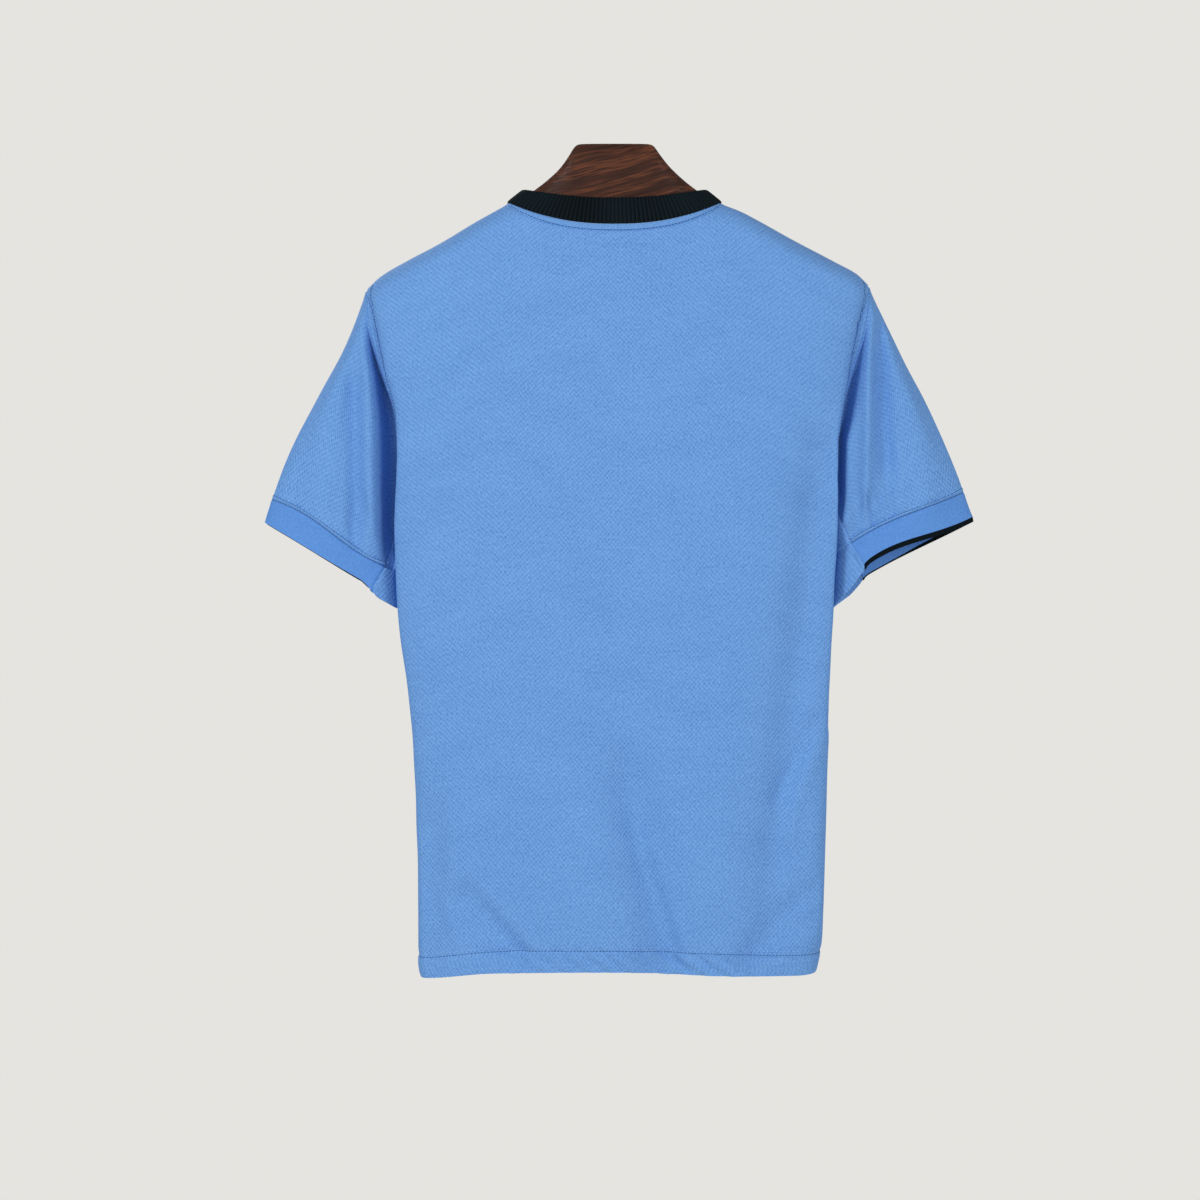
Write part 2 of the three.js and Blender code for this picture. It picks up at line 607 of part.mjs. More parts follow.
/** Closed wall between a grid of outer points and the same grid moved in by the wall. */
function wallGeometry(piece) {
  const { grid, normals, closed, wallAt } = piece;
  const rows = grid.length;
  const columns = grid[0].length;
  const offsets = seamOffsets(piece);
  const positions = [];
  const indices = [];
  for (const inner of [false, true]) {
    grid.forEach((points, row) =>
      points.forEach((point, column) => {
        const place = point.clone().add(offsets[row][column]);
        if (inner) place.addScaledVector(normals[row][column], -wallAt(row));
        positions.push(place.x, place.y, place.z);
      }),
    );
  }
  const innerStart = rows * columns;
  const at = (row, column, inner) => (inner ? innerStart : 0) + row * columns + (column % columns);
  const quad = (a, b, c, d) => indices.push(a, c, b, a, d, c);
  const spans = closed ? columns : columns - 1;
  for (let row = 0; row < rows - 1; row += 1) {
    for (let column = 0; column < spans; column += 1) {
      quad(
        at(row, column, false),
        at(row + 1, column, false),
        at(row + 1, column + 1, false),
        at(row, column + 1, false),
      );
      quad(
        at(row, column, true),
        at(row, column + 1, true),
        at(row + 1, column + 1, true),
        at(row + 1, column, true),
      );
    }
  }
  for (let column = 0; column < spans; column += 1) {
    const last = rows - 1;
    quad(at(0, column, false), at(0, column + 1, false), at(0, column + 1, true), at(0, column, true));
    quad(
      at(last, column, false),
      at(last, column, true),
      at(last, column + 1, true),
      at(last, column + 1, false),
    );
  }
  if (!closed) {
    const last = columns - 1;
    for (let row = 0; row < rows - 1; row += 1) {
      quad(at(row, 0, false), at(row, 0, true), at(row + 1, 0, true), at(row + 1, 0, false));
      quad(at(row, last, false), at(row + 1, last, false), at(row + 1, last, true), at(row, last, true));
    }
  }
  const geometry = new THREE.BufferGeometry();
  geometry.setAttribute("position", new THREE.Float32BufferAttribute(positions, 3));
  geometry.setIndex(indices);
  geometry.computeVertexNormals();
  return geometry;
}

// Hanger

/** Upper outline of the hanger at a place along it. */
function hangerTop(side, halfX) {
  if (halfX <= NECK_HALF_WIDTH) return readTable(HANGER_NECK, "x", "top", halfX);
  const settle = smooth((halfX - NECK_HALF_WIDTH) / 30);
  const clearance = lerp(HANGER_CLEARANCE.atNeck, HANGER_CLEARANCE.onArm, settle);
  return ridgeZ(side, halfX) - clearance;
}

/** One section of the hanger: boxy with a flat top at the neck, oval along the arms. */
function hangerSection(x) {
  const side = x < 0 ? SIDES.right : SIDES.left;
  const halfX = Math.abs(x);
  const endShare = clamp01((halfX - (HANGER_TIP_X - HANGER_END_ROUND)) / HANGER_END_ROUND);
  const endScale = Math.sqrt(Math.max(0.02, 1 - endShare ** 2));
  const top = hangerTop(side, halfX);
  const armHeight = readTable(HANGER_ARM, "x", "height", halfX);
  const armBottom = hangerTop(side, NECK_HALF_WIDTH) - armHeight;
  const underNeck = lerp(HANGER_NECK_BOTTOM, armBottom, (halfX / NECK_HALF_WIDTH) ** 2);
  const height = halfX < NECK_HALF_WIDTH ? top - underNeck : armHeight;
  const halfThick = readTable(HANGER_ARM, "x", "halfThick", halfX) * endScale;
  const middle = top - height / 2;
  const halfHeight = (height / 2) * endScale;
  const boxy = 1 - smooth((halfX - 38) / 36);
  const points = [];
  for (let i = 0; i < HANGER_ROUND_SIDES; i += 1) {
    const angle = (2 * Math.PI * (i + 0.5)) / HANGER_ROUND_SIDES;
    const roundY = Math.cos(angle);
    const roundZ = Math.sin(angle);
    const largest = Math.max(Math.abs(roundY), Math.abs(roundZ));
    const soften = lerp(1, 0.97, Math.min(Math.abs(roundY), Math.abs(roundZ)) / largest);
    const boxY = (roundY / largest) * soften;
    const boxZ = Math.abs(roundZ) === largest ? Math.sign(roundZ) : roundZ / largest;
    points.push(
      new THREE.Vector3(
        x,
        armCentreY(x) + halfThick * lerp(roundY, boxY, boxy),
        middle + halfHeight * lerp(roundZ / Math.sin((Math.PI * 7) / 16), boxZ, boxy),
      ),
    );
  }
  return points;
}

/** Closed body through the hanger's sections, from one tip to the other. */
function hangerGeometry() {
  const half = [
    ...HANGER_NECK.map((row) => row.x).filter((x) => x > 0),
    ...HANGER_ARM_STATIONS,
    HANGER_TIP_X,
  ];
  const stations = [...half.map((x) => -x).reverse(), 0, ...half];
  const rings = stations.map(hangerSection);
  const positions = rings.flat().flatMap((point) => [point.x, point.y, point.z]);
  const indices = [];
  const count = HANGER_ROUND_SIDES;
  for (let ring = 0; ring < rings.length - 1; ring += 1) {
    for (let i = 0; i < count; i += 1) {
      const next = (i + 1) % count;
      const a = ring * count + i;
      const b = ring * count + next;
      indices.push(a, b, b + count, a, b + count, a + count);
    }
  }
  for (const ring of [0, rings.length - 1]) {
    const middle = rings[ring].reduce((sum, point) => sum.add(point), new THREE.Vector3());
    middle.divideScalar(count);
    const middleIndex = positions.length / 3;
    positions.push(middle.x, middle.y, middle.z);
    for (let i = 0; i < count; i += 1) {
      const here = ring * count + i;
      const next = ring * count + ((i + 1) % count);
      if (ring === 0) indices.push(middleIndex, next, here);
      else indices.push(middleIndex, here, next);
    }
  }
  const geometry = new THREE.BufferGeometry();
  geometry.setAttribute("position", new THREE.Float32BufferAttribute(positions, 3));
  geometry.setIndex(indices);
  geometry.computeVertexNormals();
  return geometry;
}

// Assembly

const cloth = (colour, roughness) =>
  new THREE.MeshStandardMaterial({ color: colour, roughness, metalness: 0 });

const plainWall = (thickness) => () => thickness;
const hemmedWall = (rowCount) => (row) => (row >= rowCount - 2 ? HEM_WALL : CLOTH_WALL);

/** All cloth pieces with their outer grids. */
function clothPieces() {
  const back = panelGrid("back");
  const front = panelGrid("front");
  evenOutMiddle("back", back);
  evenOutMiddle("front", front);
  const allSewn = { top: true, bottom: true, sides: true };
  const panelSewn = { top: true, bottom: false, sides: true };
  const pieces = [
    { name: "back_panel", grid: back, flip: false, sewn: panelSewn, wallAt: hemmedWall(back.length) },
    { name: "front_panel", grid: front, flip: true, sewn: panelSewn, wallAt: hemmedWall(front.length) },
    {
      name: "collar",
      grid: collarGrid(back, front),
      flip: false,
      closed: true,
      sewn: { top: true, bottom: false, sides: false },
      gap: COLLAR_SEAM_GAP,
      wallAt: plainWall(RIB_WALL),
      colour: COLOURS.rib,
    },
  ];
  for (const sideName of Object.keys(SIDES)) {
    const armhole = armholeRing(sideName, back, front);
    const bands = sleeveBands(sideName, armhole);
    const flip = sideName === "right";
    const first = GUSSET_ROWS;
    const last = armhole.length - 1 - GUSSET_ROWS;
    const turnedIn = sideName === "left";
    const cuffRows = turnedIn ? joinBands([bands.cuff, bands.edging]) : bands.cuff;
    pieces.push({
      name: `sleeve_${sideName}`,
      grid: cutColumns(bands.sleeve, first, last),
      flip,
      sewn: allSewn,
      wallAt: plainWall(CLOTH_WALL),
    });
    pieces.push({
      name: `cuff_${sideName}`,
      grid: cutColumns(cuffRows, first, last),
      flip,
      sewn: { top: true, bottom: !turnedIn, sides: true },
      wallAt: plainWall(CLOTH_WALL),
      colour: COLOURS.cuff,
    });
    const sleeveRows = joinBands([bands.sleeve, bands.cuff, bands.edging]);
    const backStrip = cutColumns(sleeveRows, 0, first);
    const frontStrip = cutColumns(sleeveRows, last, armhole.length - 1);
    pieces.push({
      name: `gusset_${sideName}`,
      grid: frontStrip.map((points, row) => [...points, ...backStrip[row].slice(1)]),
      flip,
      sewn: { top: true, bottom: false, sides: true },
      wallAt: plainWall(CLOTH_WALL),
    });
    pieces.push({
      name: `edging_${sideName}`,
      grid: cutColumns(bands.edging, first, last),
      flip,
      sewn: { top: !turnedIn, bottom: false, sides: true },
      wallAt: plainWall(EDGING_WALL),
      colour: COLOURS.rib,
      turnedIn,
    });
  }
  return pieces;
}

/** Moves a turned-in edging to the inside of its cuff, just past the cuff's lower edge. */
function turnIn(piece) {
  const inward = CLOTH_WALL + SEAM_GAP;
  const [upper, lower] = piece.grid;
  piece.grid = [upper, lower].map((points, row) =>
    points.map((point, column) => {
      const down = lower[column].clone().sub(upper[column]).normalize();
      const along = row === 0 ? -TURNED_EDGING_HEIGHT : TURNED_EDGING_SHOWS;
      return lower[column]
        .clone()
        .addScaledVector(down, along)
        .addScaledVector(piece.normals[1][column], -inward);
    }),
  );
}

const jersey = new THREE.Group();
const pieces = clothPieces();
for (const piece of pieces) {
  piece.closed = piece.closed ?? false;
  if (piece.flip) piece.grid = piece.grid.map((points) => [...points].reverse());
  piece.normals = gridNormals(piece.grid, piece.closed);
}
shareNormals(pieces);
for (const piece of pieces) {
  if (piece.turnedIn) turnIn(piece);
  const mesh = new THREE.Mesh(wallGeometry(piece), cloth(piece.colour ?? COLOURS.body, 0.85));
  mesh.name = piece.name;
  jersey.add(mesh);
}

const hanger = new THREE.Mesh(
  hangerGeometry(),
  new THREE.MeshStandardMaterial({ color: COLOURS.wood, roughness: 0.5, metalness: 0 }),
);
hanger.name = "hanger";
jersey.add(hanger);

export default jersey;
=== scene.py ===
"""Football jersey with short sleeves, hanging on a wooden hanger, dressed for its render.

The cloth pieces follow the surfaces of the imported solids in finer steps. Sizes are in
millimetres until a mesh is made, and the mesh is in metres.
"""

import logging
import math
from dataclasses import dataclass, field
from enum import Enum

import bpy
import numpy as np
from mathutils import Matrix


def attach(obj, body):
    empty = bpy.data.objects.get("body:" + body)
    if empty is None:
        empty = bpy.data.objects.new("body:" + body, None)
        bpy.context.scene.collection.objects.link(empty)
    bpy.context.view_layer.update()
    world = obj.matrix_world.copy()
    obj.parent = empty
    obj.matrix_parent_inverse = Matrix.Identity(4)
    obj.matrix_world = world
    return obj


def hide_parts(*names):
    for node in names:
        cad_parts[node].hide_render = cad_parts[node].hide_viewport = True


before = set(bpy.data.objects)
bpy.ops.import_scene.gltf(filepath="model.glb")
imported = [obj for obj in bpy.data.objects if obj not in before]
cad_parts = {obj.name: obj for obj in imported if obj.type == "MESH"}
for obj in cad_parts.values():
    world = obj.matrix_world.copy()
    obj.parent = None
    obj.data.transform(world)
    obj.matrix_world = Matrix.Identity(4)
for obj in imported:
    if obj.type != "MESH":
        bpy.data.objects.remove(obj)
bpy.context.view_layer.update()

LOG = logging.getLogger("jersey")
MM = 0.001
BODY = "root"
Values = float | np.ndarray
Rgb = tuple[float, float, float]
Socket = bpy.types.NodeSocket
Feed = bpy.types.NodeSocket | float | tuple

# Sizes shared by the whole garment
NECK_HALF_WIDTH = 97.7
NECK_POINT_Z = -55.0
UNDERARM_Z = -352.0
HEM_Z = -766.0
HEM_HEIGHT = 18.0
HEM_HALF_WIDTH = 178.0
SECTION_POWER = 2.8
SHOULDER_ROUND = 22.0
HANGER_FORWARD = 22.0
HANGER_ARM = 222.0
HANGER_BEND = 1.6
NECK_SLOPE = 0.1
NECK_COLUMNS = 7
HALF_COLUMNS = 15
HEM_ROWS_ABOVE = 15
ARMHOLE_ROWS = np.array(
    [0, 3, 10, 21, 36, 52, 68, 84, 100, 116, 132, 148, 164, 180, 194, 202, 210, 218], float
)
ARMHOLE_STEPS = len(ARMHOLE_ROWS) - 1
GUSSET_START = ARMHOLE_STEPS - 3
ALL_ROWS = ARMHOLE_STEPS + HEM_ROWS_ABOVE + 1


class Face(Enum):
    """Which face of the garment a panel or half ring belongs to."""

    BACK = 1
    FRONT = -1


class Slot(str, Enum):
    """Material slots of the record that the pieces belong to."""

    BODY = "body_knit"
    CUFF = "cuff_knit"
    EDGING = "edging"
    RIB = "rib"
    WOOD = "wood"


class Look(Enum):
    """Finishes that scene.py gives the pieces."""

    BODY = "body"
    CUFF = "cuff"
    EDGING = "edging"
    RIB = "rib"
    THREAD = "thread"
    # Light blue thread coloured dark as painted shade of its stitch groove.
    DARK_THREAD = "dark thread"
    WOOD = "wood"


class Wearer(Enum):
    """The wearer's sides."""

    LEFT = "left"
    RIGHT = "right"


class Part(Enum):
    """Pieces that one sleeve is sewn from."""

    SLEEVE = "sleeve"
    CUFF = "cuff"
    EDGING = "edging"
    GUSSET = "gusset"


def smooth(share: Values) -> Values:
    """Eases a share from 0 to 1, level at both ends."""
    t = np.clip(share, 0.0, 1.0)
    return t * t * (3.0 - 2.0 * t)


def ramp(value: Values, start: float, length: float) -> Values:
    """Eases from 0 at the start to 1 a length further on."""
    return smooth((value - start) / length)


def mix(start: Values, end: Values, share: Values) -> Values:
    """Goes from start to end by a share."""
    return start + (end - start) * share


class Curve:
    """A smooth line through the rows of a table, level past both ends."""

    def __init__(self, *rows: tuple[float, float]) -> None:
        """Keeps the rows in rising order.

        Args:
            rows: (place, value) pairs, rising or falling.
        """
        table = np.array(sorted(rows), float)
        self.places = table[:, 0]
        self.values = table[:, 1]
        slopes = np.diff(self.values) / np.diff(self.places)
        tangents = np.concatenate([slopes[:1], np.zeros(len(slopes) - 1), slopes[-1:]])
        before = slopes[:-1]
        after = slopes[1:]
        same = before * after > 0
        safe = np.where(same, before + after, 1.0)
        tangents[1:-1] = np.where(same, 2.0 * before * after / safe, 0.0)
        self.tangents = tangents

    def __call__(self, at: Values) -> np.ndarray:
        """Value of the line.

        Args:
            at: places along the table's key.

        Returns:
            The values there, in the shape of at.
        """
        at = np.clip(np.asarray(at, float), self.places[0], self.places[-1])
        i = np.clip(np.searchsorted(self.places, at, side="right") - 1, 0, len(self.places) - 2)
        step = self.places[i + 1] - self.places[i]
        t = (at - self.places[i]) / step
        rise = (self.values[i + 1] - self.values[i]) * (3.0 - 2.0 * t) * t * t
        bend = self.tangents[i] * t * (1.0 - t) ** 2 - self.tangents[i + 1] * t * t * (1.0 - t)
        return self.values[i] + rise + step * bend


@dataclass(frozen=True)
class Fold:
    """A soft trough (depth below 0) or ridge (depth above 0) along a straight line."""

    x0: float
    z0: float
    x1: float
    z1: float
    width: float
    depth: float
    fade: float

    def height(self, x: np.ndarray, z: np.ndarray) -> np.ndarray:
        """Height of the fold above the cloth.

        Args:
            x: places across, in mm.
            z: heights, in mm.

        Returns:
            The fold's height at each place, below 0 in a trough.
        """
        length = math.hypot(self.x1 - self.x0, self.z1 - self.z0)
        along_x = (self.x1 - self.x0) / length
        along_z = (self.z1 - self.z0) / length
        along = (x - self.x0) * along_x + (z - self.z0) * along_z
        across = (x - self.x0) * along_z - (z - self.z0) * along_x
        started = smooth((along + self.fade) / self.fade)
        ended = smooth((length + self.fade - along) / self.fade)
        return self.depth * np.exp(-((across / self.width) ** 2)) * started * ended


def fold_height(folds: tuple[Fold, ...], x: np.ndarray, z: np.ndarray) -> np.ndarray:
    """Sum of the folds' heights.

    Args:
        folds: the folds that cross the cloth.
        x: places across, in mm.
        z: heights, in mm.

    Returns:
        Their height at each place.
    """
    total = np.zeros(np.broadcast(x, z).shape)
    for fold in folds:
        total = total + fold.height(x, z)
    return total


@dataclass(frozen=True)
class Trench:
    """A deep narrow fold that runs down beside an armhole."""

    middle: Curve
    half_width: Curve
    depth: Curve
    sharpness: float = 2.6

    def height(self, x: np.ndarray, z: np.ndarray) -> np.ndarray:
        """Height of the trench's floor against the cloth at each place."""
        across = (x - self.middle(z)) / self.half_width(z)
        return -self.depth(z) * np.exp(-(np.abs(across) ** self.sharpness))


@dataclass(frozen=True)
class Crumple:
    """Small uneven waves that hanging knit shows."""

    height: float = 0.36
    waves: int = 7
    across: float = 0.013
    across_step: float = 0.0095
    up: float = 0.021
    up_step: float = 0.017
    up_order: int = 5
    turn_step: float = 1.7
    settling: float = 0.6
    sum_of_waves: float = 3.2

    def at(self, x: np.ndarray, z: np.ndarray, phase: float) -> np.ndarray:
        """Adds the waves up.

        Args:
            x: places across, in mm.
            z: heights, in mm.
            phase: shifts the waves, so that no two pieces are alike.

        Returns:
            The waves' height at each place, in mm.
        """
        total = np.zeros(np.broadcast(x, z).shape)
        for k in range(1, self.waves + 1):
            across = self.across + self.across_step * k
            up = self.up + self.up_step * ((k * self.up_order) % self.waves)
            turn = phase + self.turn_step * k
            side = 1 if k % 2 else -1
            total = total + np.sin(across * x * side + up * z + turn) / k**self.settling
        return total / self.sum_of_waves * self.height


@dataclass(frozen=True)
class SeamRoll:
    """How the cloth dips into a seam, stands up beside it and settles again."""

    height: float
    rise: float = 1.1
    reach: float = 6.0
    dip: float = 0.9

    def at(self, distance: np.ndarray) -> np.ndarray:
        """Height at each distance from the seam."""
        rise = (1.0 - np.exp(-((distance / self.rise) ** 2))) * np.exp(-((distance / self.reach) ** 2))
        return self.height * (rise - np.exp(-((distance / self.dip) ** 2)))


@dataclass(frozen=True)
class StitchedRim:
    """A seam allowance that lifts the cloth up to its topstitching, which pulls it in."""

    width: float
    height: float
    groove: float
    rise: float = 1.0
    fall: float = 1.6
    fall_beyond: float = 0.6
    stitch_beyond: float = 0.3
    stitch_reach: float = 0.75

    @property
    def stitch_line(self) -> float:
        """Distance of the topstitching from the seam."""
        return self.width + self.stitch_beyond

    def at(self, distance: np.ndarray) -> np.ndarray:
        """Lifts the cloth by its distance from the seam.

        Args:
            distance: distance of each place from the seam, in mm.

        Returns:
            The height there.
        """
        fall = smooth((self.width + self.fall_beyond - distance) / self.fall)
        from_stitches = (distance - self.width - self.stitch_beyond) / self.stitch_reach
        return self.height * smooth(distance / self.rise) * fall - self.groove * np.exp(-(from_stitches**2))


@dataclass(frozen=True)
class HemRelief:
    """The turned hem: a stitched groove, a fuller band and slanted ripples."""

    strength: float = 1.0
    groove: float = 0.95
    groove_reach: float = 0.08
    fullness: float = 0.5
    pitch: float = 20.5
    lean: float = 1.4
    middle_z: float = -760.0
    drift: float = 0.7
    drift_length: float = 23.0
    steepness: float = 0.32
    left_end: float = 112.0
    right_end: float = -146.0
    left_fade: float = 36.0
    right_fade: float = 26.0
    left_height: float = 1.3
    right_height: float = 2.1
    change_of_height: tuple[float, float] = (-60.0, 120.0)
    start_of_ripples: tuple[float, float] = (-0.12, 0.3)
    ripple_at_edge: float = 0.55
    full_from: float = 0.2
    full_to: float = 1.03
    full_fade: float = 0.15

    def at(self, x: np.ndarray, z: np.ndarray, in_hem: np.ndarray) -> np.ndarray:
        """Shapes the hem.

        Args:
            x: places across, in mm.
            z: heights, in mm.
            in_hem: share of the way from the seam line (0) to the lower edge (1).

        Returns:
            The height at each place, in mm.
        """
        groove = -self.groove * np.exp(-((in_hem / self.groove_reach) ** 2))
        band = self.fullness * smooth(in_hem / self.full_from)
        band = band * smooth((self.full_to - in_hem) / self.full_fade)
        along = x - self.lean * (z - self.middle_z)
        turn = 2.0 * math.pi * along / self.pitch + self.drift * np.sin(x / self.drift_length)
        ripple = np.sin(turn) - self.steepness * np.sin(2.0 * turn)
        across = smooth((self.left_end - x) / self.left_fade)
        across = across * ramp(x, self.right_end, self.right_fade)
        across = across * mix(self.right_height, self.left_height, ramp(x, *self.change_of_height))
        fade = ramp(in_hem, *self.start_of_ripples) * mix(1.0, self.ripple_at_edge, smooth(in_hem))
        return groove + band + self.strength * ripple * across * fade


# Garment forms


@dataclass(frozen=True)
class SideCut:
    """One side of the garment: its shoulder line, and its armhole and side seam."""

    sign: float
    shoulder: Curve
    edge: Curve

    @property
    def tip_x(self) -> float:
        """Half width at the top of the armhole."""
        return float(self.shoulder.places[-1])

    @property
    def tip_z(self) -> float:
        """Height of the top of the armhole."""
        return float(self.edge.places[-1])

    def rows(self) -> np.ndarray:
        """Heights of the edge rows.

        Returns:
            The heights in mm, from the top of the armhole to the hem.
        """
        armhole = mix(self.tip_z, UNDERARM_Z, ARMHOLE_ROWS / ARMHOLE_ROWS[-1])
        lower = np.linspace(UNDERARM_Z, HEM_Z + HEM_HEIGHT, HEM_ROWS_ABOVE + 1)[1:]
        return np.concatenate([armhole, lower, [HEM_Z]])


LEFT = SideCut(
    sign=1.0,
    shoulder=Curve((97.7, -55), (127, -71), (158, -89.5), (193, -108), (218.5, -123), (229.5, -134)),
    edge=Curve(
        (-134, 229.5), (-161, 222.8), (-192, 217.7), (-218, 213), (-254, 204.5), (-290, 202.5),
        (-352, 203.5), (-424, 201.5), (-514, 191.5), (-569, 187), (-662, 183.5), (-754, 182),
        (-770, 179.5),
    ),
)
RIGHT = SideCut(
    sign=-1.0,
    shoulder=Curve(
        (97.7, -55), (116.5, -62), (134, -71), (167.5, -89.5), (204, -108), (225, -119.5), (235.5, -130)
    ),
    edge=Curve(
        (-130, 235.5), (-168, 226.6), (-200, 220.7), (-229, 216.4), (-257, 212), (-285, 208.5),
        (-352, 207), (-416, 203.5), (-514, 199.5), (-569, 198.8), (-662, 196.2), (-736, 193),
        (-770, 186.5),
    ),
)

DEPTH_ROWS = (-55, -134, -200, -270, -310, -336, -352, -440, -540, -660, -770)


def depth_curve(*values: float) -> Curve:
    """Curve of one depth column over the heights of DEPTH_ROWS."""
    return Curve(*zip(DEPTH_ROWS, values))


CENTRE_Y = {
    Face.BACK: depth_curve(18, 27, 33, 37, 38, 39, 39, 41, 41, 39, 36),
    Face.FRONT: depth_curve(-30, -44, -50, -53, -54, -54, -54, -54, -52, -49, -45),
}
EDGE_Y = {
    Face.BACK: depth_curve(-2, -1, 2, 4, 3, -1, -9, -9, -8, -7, -6),
    Face.FRONT: depth_curve(-40, -42, -43, -42, -37, -25, -9, -9, -8, -7, -6),
}
TUCK = depth_curve(0, 0, 1.5, 4, 6, 8, 9, 9, 5, 2.5, 1)
BULGE_PER_TUCK = 0.8
TUCK_CROWN = 0.5
NECK_LOW = {Face.BACK: -75.0, Face.FRONT: -150.0}
NECK_POWER = {Face.BACK: 2.3, Face.FRONT: 2.6}
HEM_DROP = Curve(
    (-186, 11), (-172, 1.5), (-146, -2), (-104, -2), (0, 2), (101, 0.5), (161, -4.5), (178, -1)
)
PANEL_FOLDS = {
    Face.BACK: (
        Fold(-2, -430, -17, -594, 28, -4.0, 90),
        Fold(-18, -600, -46, -745, 20, -9.0, 60),
        Fold(22, -640, -2, -760, 28, 4, 60),
        Fold(108, -560, 100, -720, 32, -5.0, 80),
        Fold(140, -700, 92, -748, 14, -5.8, 24),
        Fold(-186, -330, -150, -650, 19, -8.6, 110),
        Fold(-178, -696, -128, -744, 14, -6.6, 26),
        Fold(-100, -600, -112, -740, 30, 2.6, 70),
        Fold(168, -640, 166, -735, 12, -4.4, 50),
    ),
    Face.FRONT: (
        Fold(-28, -250, -40, -740, 20, 7.5, 110),
        Fold(-84, -310, -98, -750, 22, 6, 90),
        Fold(34, -270, 46, -745, 21, 7, 110),
        Fold(92, -330, 110, -750, 22, 6, 90),
        Fold(2, -230, 4, -730, 24, -4, 110),
        Fold(-60, -330, -68, -740, 19, -4, 90),
        Fold(64, -340, 78, -740, 19, -4, 90),
        Fold(-132, -200, -58, -300, 24, -5, 50),
        Fold(130, -210, 60, -305, 24, -5, 50),
    ),
}
# Creases too fine for the solids, placed one by one.
PANEL_CREASES = {
    Face.BACK: (
        Fold(20, -91, -46, -92.5, 3.2, -1.4, 12),
        Fold(-30, -96, -52, -99, 3.0, 0.5, 8),
        Fold(-20, -640, -52, -742, 9, -2.4, 40),
        Fold(-34, -650, -66, -744, 8, 1.9, 40),
        Fold(-60, -700, -78, -746, 6, -0.8, 16),
        Fold(133, -690, 88, -744, 7, -2.4, 14),
        Fold(122, -690, 76, -742, 5, 1.5, 14),
        Fold(112, -718, 96, -748, 4, -1.0, 8),
        Fold(74, -712, 66, -746, 5, -0.8, 12),
        Fold(-143, -738, -183, -716, 5, -2.6, 12),
        Fold(-150, -728, -184, -700, 5, 1.8, 12),
        Fold(-128, -744, -168, -742, 4, -1.1, 10),
        Fold(-186, -533, -150, -606, 8, -3.6, 10),
        Fold(-186, -550, -158, -640, 9, 2.4, 16),
        Fold(-176, -610, -168, -690, 8, -1.3, 30),
        Fold(165, -560, 160, -680, 7, -0.9, 30),
        Fold(172, -690, 150, -742, 5, -1.1, 14),
        Fold(199, -250, 172, -262, 4, -0.7, 10),
        Fold(198, -222, 176, -232, 4, -0.6, 10),
        Fold(196, -290, 168, -300, 5, -0.7, 12),
        Fold(-206, -240, -178, -252, 4, -0.7, 10),
        Fold(-204, -275, -174, -290, 5, -0.8, 12),
        Fold(-203, -310, -176, -330, 5, -0.8, 12),
    ),
    Face.FRONT: (
        Fold(-46, -420, -52, -742, 6, -1.4, 60),
        Fold(52, -430, 60, -742, 6, -1.4, 60),
        Fold(-150, -560, -146, -735, 9, -1.8, 40),
        Fold(152, -590, 148, -735, 9, -1.8, 40),
        Fold(-190, -250, -160, -268, 5, -0.9, 12),
        Fold(188, -252, 158, -272, 5, -0.9, 12),
        Fold(-70, -180, -30, -205, 6, -0.9, 20),
        Fold(72, -180, 34, -206, 6, -0.9, 20),
    ),
}

# Small relief of the cloth, and how wide a strip it leaves smooth beside a seam
CRUMPLE = Crumple()
SEAM_GAP = 0.06
SETTLED = 5.0
CREASE_ANGLE = math.radians(50)
NECK_RIM = StitchedRim(6.2, 1.1, 0.8)
ARMHOLE_RIM = StitchedRim(10.0, 0.7, 0.7)
CUFF_RIM = StitchedRim(3.8, 1.5, 0.7)
PANEL_ROLL = SeamRoll(0.5)
CUFF_ROLL = SeamRoll(0.35)
ARMHOLE_ROLL = SeamRoll(0.8)

# Shares and sizes that shape the panels' sections and the sleeves' rings
SECTION_SAMPLES = 81
NECK_EVENNESS = 0.6
EVEN_BELOW = 0.16
EDGE_FADE = 0.06
BLENDED_COLUMNS = 4.0
FIRST_STITCHED_ROW = 8
HEM_ROW_RISE = 3.2
RING_DEPTH = 24.0
RING_OUTER_Y = -13.0
RING_INNER_Y = -14.0
EDGING_DROP = 0.8
FOLD_FADE = 0.12

# Where something starts, and how far on it is at its full
FRONT_TUCK = (0.9, 0.1)
SEAM_SHIFT = (0.5, 0.36)
UNDERARM = (0.6, 0.3)
GUSSET_DROP = (0.72, 0.16)


def section_half_x(width: np.ndarray, depth: np.ndarray, share: np.ndarray) -> np.ndarray:
    """Half widths on a rounded section, at even shares of its length.

    Args:
        width: half width of the section.
        depth: depth from its edge to its middle.
        share: share of the way from the middle to the edge.

    Returns:
        The half width at each share.
    """
    width, depth, share = np.broadcast_arrays(width, depth, share)
    angle = np.linspace(0.0, math.pi / 2, SECTION_SAMPLES)
    x = width[..., None] * np.sin(angle) ** (2 / SECTION_POWER)
    y = depth[..., None] * np.clip(np.cos(angle), 0, 1) ** (2 / SECTION_POWER)
    steps = np.hypot(np.diff(x), np.diff(y))
    lengths = np.concatenate([np.zeros(steps.shape[:-1] + (1,)), np.cumsum(steps, -1)], -1)
    target = share * lengths[..., -1]
    i = np.clip((lengths[..., 1:] < target[..., None]).sum(-1), 0, SECTION_SAMPLES - 2)[..., None]
    low = np.take_along_axis(lengths, i, -1)[..., 0]
    high = np.take_along_axis(lengths, i + 1, -1)[..., 0]
    part = (target - low) / (high - low)
    x_low = np.take_along_axis(x, i, -1)[..., 0]
    x_high = np.take_along_axis(x, i + 1, -1)[..., 0]
    return mix(x_low, x_high, part)


